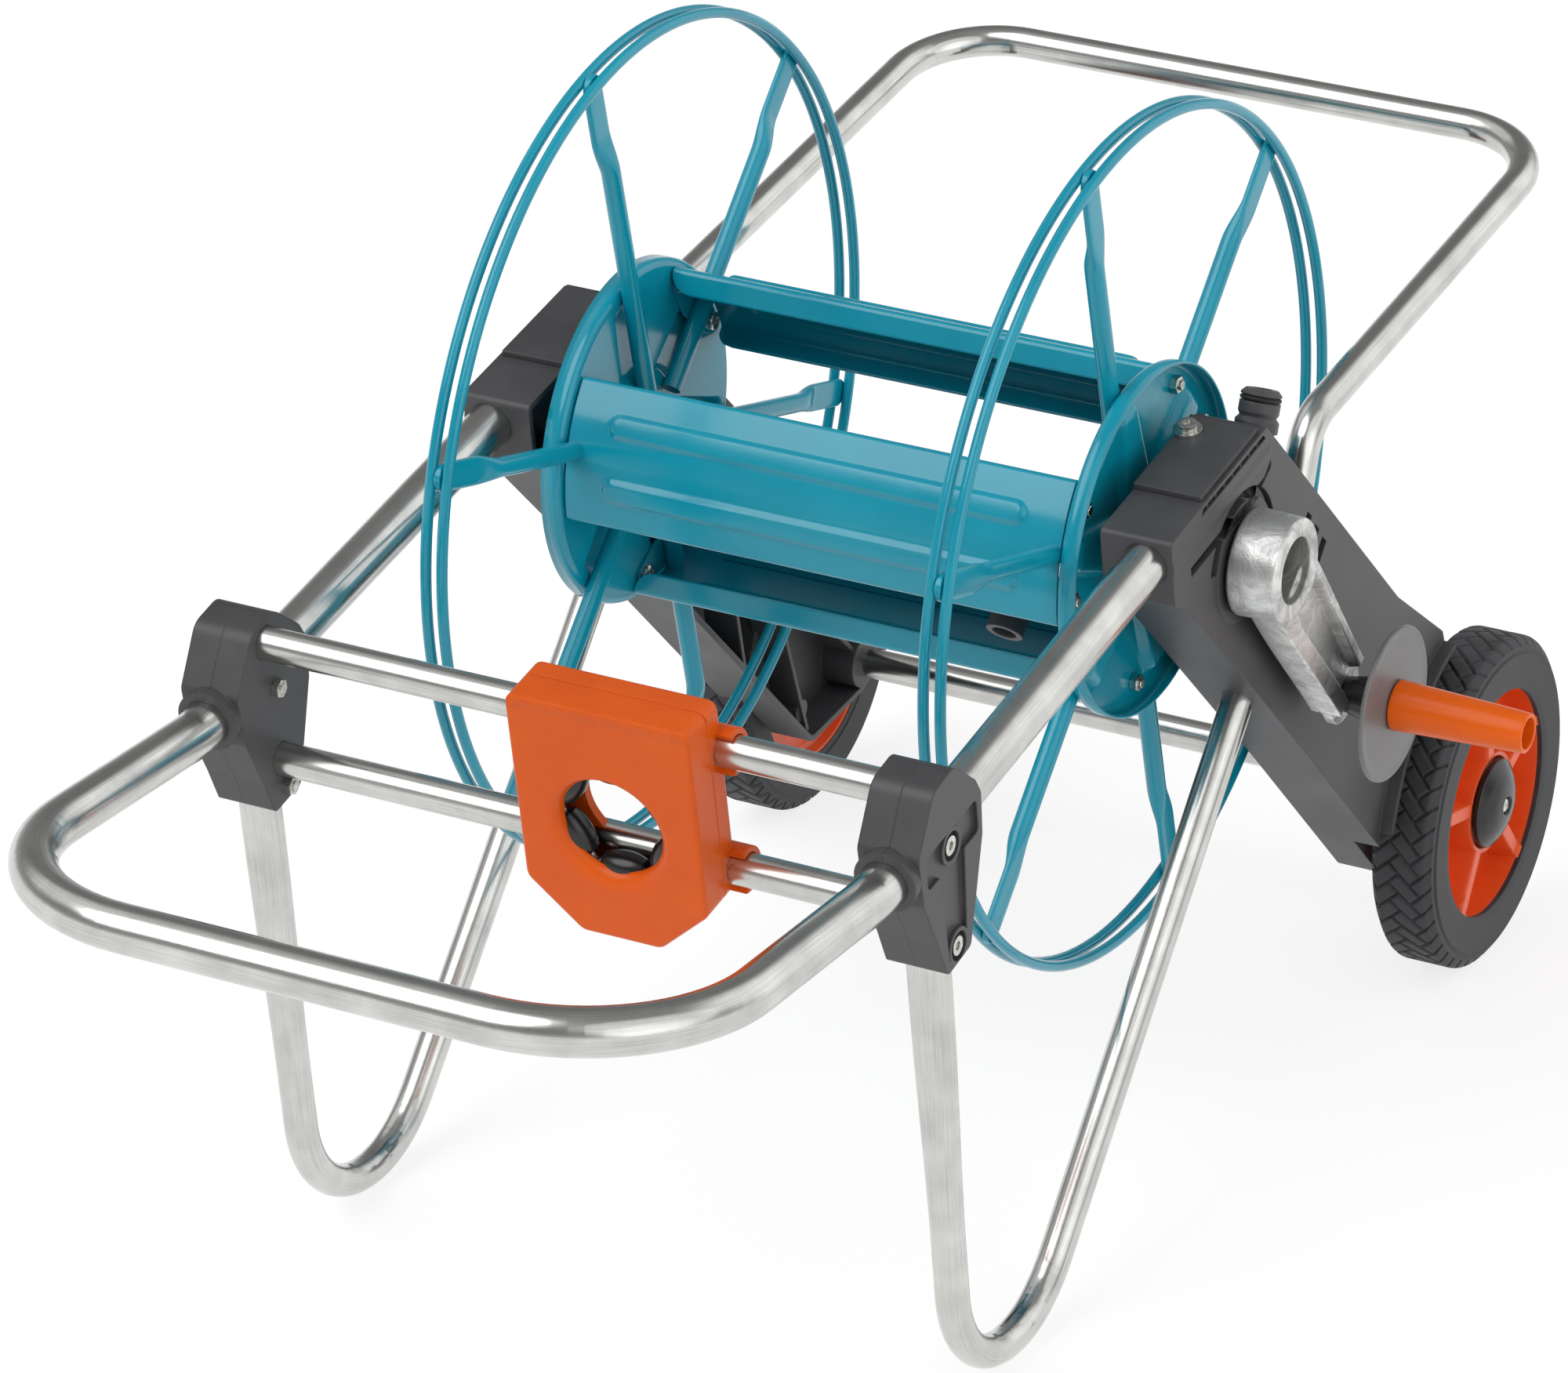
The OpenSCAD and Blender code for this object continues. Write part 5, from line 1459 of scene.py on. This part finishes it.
@dataclass
class HoseGuide:
    """The sliding hose guide: two orange shells with a round mouth and six barrel rollers."""

    u: float = -305.0
    x: float = 31.0
    half: float = 46.0
    top: float = 51.0
    bottom: float = -72.0
    cut: tuple[float, float] = (26.0, 24.0)
    front: float = -30.0
    seam: float = -12.0
    mouth: float = 25.0
    mouth_w: float = -12.0
    ring: float = 27.0
    roller: float = 7.5
    roller_half: float = 11.0
    roller_u: float = -18.8
    rod: float = 1.58
    bars: tuple[float, float] = (26.0, -38.0)
    hook: float = 11.2
    hook_bore: float = 8.3
    hook_half: float = 7.5
    hook_turn: float = 112.0
    edge: float = 2.2
    back_edge: float = 3.0
    flare: float = 6.0
    sag: float = 0.45

    def place(self, shell: Shell) -> Shell:
        """Moves a shell made in (x, u, w) to the guide's place on the crossbars."""
        return shell.placed(STRAND.at(self.x, self.u, 0), vec(1, 0, 0), STRAND.up)

    def outline(self) -> np.ndarray:
        """The front view's outline, (x, w), counter-clockwise, with its lower corners cut off."""
        half, low, high = self.half, self.bottom, self.top
        a, b = self.cut
        rows = [
            (half, high, 5), (-half, high, 5), (-half, low + b, 7),
            (-half + a, low, 7), (half - a, low, 7), (half, low + b, 7),
        ]
        return rounded_profile(rows)

    def by_angle(self, line: np.ndarray, angle: np.ndarray) -> np.ndarray:
        """Points of an outline at given angles round the mouth's axis.

        Args:
            line: The closed outline, (x, w).
            angle: Angles, rising.

        Returns:
            Points (x, w) on the outline.
        """
        around = np.unwrap(np.arctan2(line[:, 1] - self.mouth_w, line[:, 0]))
        order = np.argsort(around % TAU)
        key, x, w = (around % TAU)[order], line[order, 0], line[order, 1]
        return np.stack([np.interp(angle % TAU, key, c, period=TAU) for c in (x, w)], 1)

    def shell(self, depths: Sequence[tuple[float, float, float]]) -> Shell:
        """A ring of layers between the mouth and the outline.

        Each layer is the mouth's circle, grown by `grow`, blended by `share` towards the
        outline, at depth u. The growth is larger by `sag` at the bottom of the mouth and
        smaller by it at the top.

        Args:
            depths: (u, share, grow) of each layer, grow being the inset where share is 1.

        Returns:
            The closed surface.
        """
        base = self.outline()
        fine = divided(np.vstack([base, base[:1]]), 2.5)[:-1]
        even = full_turn(144)
        angle = np.arctan2(fine[:, 1] - self.mouth_w, fine[:, 0]) % TAU
        angle = np.unique(np.round(np.concatenate([angle, even]), 4))
        circle = np.stack([np.cos(angle), np.sin(angle)], 1)
        layers = []
        for u, share, grow in depths:
            lower = 1 - self.sag * circle[:, 1:]
            inner = circle * (self.mouth + (grow * lower if share < 1 else 0)) + vec(0, self.mouth_w)
            outer = self.by_angle(spread(base, -grow if share >= 1 else 0), angle)
            flat = inner * (1 - share) + outer * share
            layers.append(np.column_stack([flat[:, 0], np.full(len(flat), u), flat[:, 1]]))
        return Shell.grid(np.array(layers), True, True)

    def front_shell(self) -> Shell:
        """The front shell: mouth barrel, flared lip, face, rounded edges and side walls."""
        f, r, flare, s = self.front, self.edge, self.flare, self.seam
        quarter = np.radians(np.linspace(0, 90, 10))
        lip = [(f + flare * (1 - math.sin(a)), 0.0, flare * (1 - math.cos(a))) for a in quarter]
        face = [(f, 0.04, flare), (f, 0.5, flare), (f, 1.0, r + 2.0)]
        quarter = np.radians(np.linspace(0, 90, 9))
        edge = [(f + r * (1 - math.cos(a)), 1.0, r * (1 - math.sin(a))) for a in quarter]
        wall = [(s - 0.7, 1.0, 0.0), (s - 0.25, 1.0, 0.45), (s - 0.25, 1.0, 3.0)]
        inside = [(f + 3.2, 1.0, 3.4), (f + 3.2, 0.35, 0.0), (f + 3.2, 0.0, 1.5)]
        return self.shell([*lip, *face, *edge, *wall, *inside])

    def rear_shell(self) -> Shell:
        """The rear shell: side walls, a rounded back rim and an open mouth."""
        s, r = self.seam, self.back_edge
        wall = [(s, 1.0, 3.0), (s, 1.0, 0.45), (s + 0.45, 1.0, 0.0)]
        quarter = np.radians(np.linspace(0, 90, 7))
        edge = [(r * (math.sin(a) - 1), 1.0, r * (1 - math.cos(a))) for a in quarter]
        floor = s + 6.0
        mouth = [(0.0, 0.5, 0.0), (0.0, 0.0, 1.5), (-1.5, 0.0, 0.0)]
        back = [*mouth, (floor, 0.0, 0.0), (floor, 0.5, 0.0), (floor, 1.0, 3.2)]
        return self.shell([*wall, *edge, *back])

    def hooks(self) -> Shell:
        """Four hooks that hold the crossbars from behind, each a C open to the front."""
        h, r0, r1 = self.hook_half, self.hook_bore, self.hook
        section = rounded_profile([(-h, r0, 0.3), (-h, r1, 0.8), (h, r1, 0.8), (h, r0, 0.3)])
        turn = np.radians(np.linspace(-self.hook_turn, self.hook_turn, 49))[:, None]
        arc = Shell.bar(around_x(section[:, 0], section[:, 1], turn))
        rows = [arc.moved(vec(s * (self.half + 0.5), -2.5, w)) for w in self.bars for s in (-1, 1)]
        return rows[0].plus(*rows[1:])

    def one_roller(self) -> Shell:
        """A barrel roller along X whose radius falls off as the square of the distance from its middle."""
        s = np.linspace(-1, 1, 25)
        r = self.roller - 2.4 * s**2 - 1.2 * np.clip(np.abs(s) - 0.93, 0, 1) / 0.07
        rows = np.column_stack([s * self.roller_half, r])
        rows = np.vstack([[-self.roller_half, self.rod], rows, [self.roller_half, self.rod]])
        return revolve(rows, 48, True)

    def build(self, cart: Cart) -> None:
        """Builds the guide and its rollers."""
        cart.piece("guide_front_shell", self.place(self.front_shell()), RIBBED, ["guide_front"], sharp=30)
        rear = self.rear_shell().plus(self.hooks())
        cart.piece("guide_rear_shell", self.place(rear), RIBBED, ["guide_rear"], sharp=30)
        for i in range(6):
            a = math.radians(60 * i + 30)
            spot = vec(self.ring * math.cos(a), self.roller_u, self.mouth_w - self.ring * math.sin(a))
            way = vec(-math.sin(a), 0, -math.cos(a))
            shell = self.one_roller().placed(spot, way, vec(0, 1, 0))
            cart.piece(f"barrel_roller_{i + 1}", self.place(shell), GLOSS_BLACK, [f"roller_{i + 1}"])
        cart.finish_nodes(ZINC, "roller_pins")


@dataclass
class Stage:
    """Camera, floor, soft lamps and the sky round them."""

    camera_at: tuple[float, float, float] = (1.50185, -2.930, 1.810)
    view: tuple[float, float, float] = (-0.42505, 0.79810, -0.42705)
    lens: float = 178.4
    floor_half: float = 60.0
    floor_shade: float = 0.90
    paper_share: float = 0.70
    paper_glow: float = 1.12
    levels: tuple[tuple[float, float], ...] = (
        (0.0, 0.60), (0.08, 0.42), (0.28, 0.24), (0.62, 0.20), (1.0, 0.30),
    )
    screens: tuple[tuple[tuple[float, float, float], float, float, float], ...] = (
        ((0.55, 0.70, 0.46), 12.0, 38.0, 1.00),
        ((-0.75, 0.05, 0.66), 10.0, 30.0, 0.60),
        ((0.85, -0.45, 0.30), 10.0, 30.0, 0.70),
    )

    def build(self) -> None:
        """Makes the whole stage."""
        bpy.context.scene.view_settings.view_transform = "Standard"
        self.camera()
        self.floor()
        self.sky()
        self.lamp("key", (-0.35, -0.55, 0.76), 1.70, 50.0)
        self.lamp("fill", (0.80, -0.30, 0.52), 0.80, 70.0)

    def camera(self) -> None:
        """A long lens at the height and turn from which the cart is shown."""
        data = bpy.data.cameras.new("camera")
        data.sensor_width = 36.0
        data.lens = self.lens
        data.clip_end = 300.0
        made = bpy.data.objects.new("camera", data)
        made.location = self.camera_at
        made.rotation_euler = Vector(self.view).to_track_quat("-Z", "Y").to_euler()
        bpy.context.scene.collection.objects.link(made)
        bpy.context.scene.camera = made

    def floor(self) -> None:
        """A flat, pale, matt floor."""
        h = self.floor_half
        mesh = bpy.data.meshes.new("floor")
        mesh.from_pydata([(-h, -h, 0), (h, -h, 0), (h, h, 0), (-h, h, 0)], [], [(0, 1, 2, 3)])
        made = bpy.data.objects.new("floor", mesh)
        bpy.context.scene.collection.objects.link(made)
        paint = bpy.data.materials.new("matt_floor_paint")
        paint.use_nodes = True
        tree = paint.node_tree
        shader = tree.nodes["Principled BSDF"]
        shader.inputs["Base Color"].default_value = grey(self.floor_shade)
        shader.inputs["Roughness"].default_value = 0.9
        shader.inputs["Specular IOR Level"].default_value = 0.1
        path = add(tree, "ShaderNodeLightPath").outputs
        seen = path["Is Camera Ray"]
        for kind in ("Is Glossy Ray", "Is Transmission Ray"):
            seen = add(tree, "ShaderNodeMath", {0: seen, 1: path[kind]}, operation="ADD").outputs[0]
        mix = {0: seen, 1: self.paper_share}
        share = add(tree, "ShaderNodeMath", mix, operation="MULTIPLY", use_clamp=True).outputs[0]
        paper = add(tree, "ShaderNodeEmission", {"Color": grey(1.0), "Strength": self.paper_glow}).outputs[0]
        both = add(tree, "ShaderNodeMixShader", {0: share, 1: shader.outputs[0], 2: paper}).outputs[0]
        tree.links.new(both, tree.nodes["Material Output"].inputs["Surface"])
        mesh.materials.append(paint)

    def sky(self) -> None:
        """A studio sky, pale at the skyline and greyer above, with soft white screens in it."""
        world = bpy.data.worlds.new("studio_sky")
        bpy.context.scene.world = world
        world.use_nodes = True
        tree = world.node_tree
        tree.nodes.clear()
        where = add(tree, "ShaderNodeTexCoord").outputs["Generated"]
        height = add(tree, "ShaderNodeSeparateXYZ", {0: where}).outputs[2]
        stops = [(at, grey(level)) for at, level in self.levels]
        light = add(tree, "ShaderNodeValToRGB", {"Fac": height}, stops).outputs[0]
        for towards, inner, outer, strength in self.screens:
            light = self.screen(tree, where, light, towards, inner, outer, strength)
        glow = add(tree, "ShaderNodeBackground", {"Color": grey(1.0), "Strength": light})
        add(tree, "ShaderNodeOutputWorld", {"Surface": glow.outputs[0]})

    @staticmethod
    def screen(
        tree: bpy.types.NodeTree,
        where: bpy.types.NodeSocket,
        light: bpy.types.NodeSocket,
        towards: tuple[float, float, float],
        inner: float,
        outer: float,
        strength: float,
    ) -> bpy.types.NodeSocket:
        """A round white screen with soft edges, added to the sky.

        Args:
            tree: The world's nodes.
            where: Direction looked in.
            light: The sky's brightness so far.
            towards: Direction of the screen's middle.
            inner: Half angle of its even part, in degrees.
            outer: Half angle at which it has faded out, in degrees.
            strength: Brightness of its even part.

        Returns:
            The brightness with the screen added.
        """
        ways = {0: where, 1: tuple(Vector(towards).normalized())}
        facing = add(tree, "ShaderNodeVectorMath", ways, operation="DOT_PRODUCT").outputs["Value"]
        limits = {
            "Value": facing,
            "From Min": math.cos(math.radians(outer)),
            "From Max": math.cos(math.radians(inner)),
            "To Min": 0.0,
            "To Max": strength,
        }
        part = add(tree, "ShaderNodeMapRange", limits, interpolation_type="SMOOTHSTEP").outputs[0]
        return add(tree, "ShaderNodeMath", {0: light, 1: part}, operation="ADD").outputs[0]

    def lamp(self, name: str, towards: tuple[float, float, float], strength: float, angle: float) -> None:
        """A far soft lamp.

        Args:
            name: Its name.
            towards: Direction from the cart to the lamp.
            strength: Light on a surface that faces it, in W per square metre.
            angle: How wide it looks from the cart, in degrees.
        """
        data = bpy.data.lights.new(name, "SUN")
        data.energy = strength
        data.angle = math.radians(angle)
        made = bpy.data.objects.new(name, data)
        made.rotation_euler = (-Vector(towards)).to_track_quat("-Z", "Y").to_euler()
        bpy.context.scene.collection.objects.link(made)


def main() -> None:
    """Loads the frame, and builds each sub-assembly and the stage."""
    logging.basicConfig(level=logging.INFO, format="%(message)s")
    cart = Cart.load()
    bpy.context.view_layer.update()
    for part in (TubeFrame(), WireReel(), RoadWheel(), Crank(), HoseGuide()):
        part.build(cart)
        LOG.info("%s done, %d pieces so far", type(part).__name__, cart.count)
    sided = ("clamp_inner", "clamp_outer", "housing", "cover_plate")
    mouldings = [f"{side.name.lower()}_{kind}" for kind in sided for side in Side]
    cart.finish_nodes(DARK, *mouldings, "inlet_connector", "water_pipe")
    cart.finish_nodes(ZINC, "clamp_screws", "clamp_nuts", "cover_washers", "cover_screws")
    cart.finish_nodes(SEAL, "inlet_o_ring")
    Stage().build()


if __name__ == "__main__":
    main()
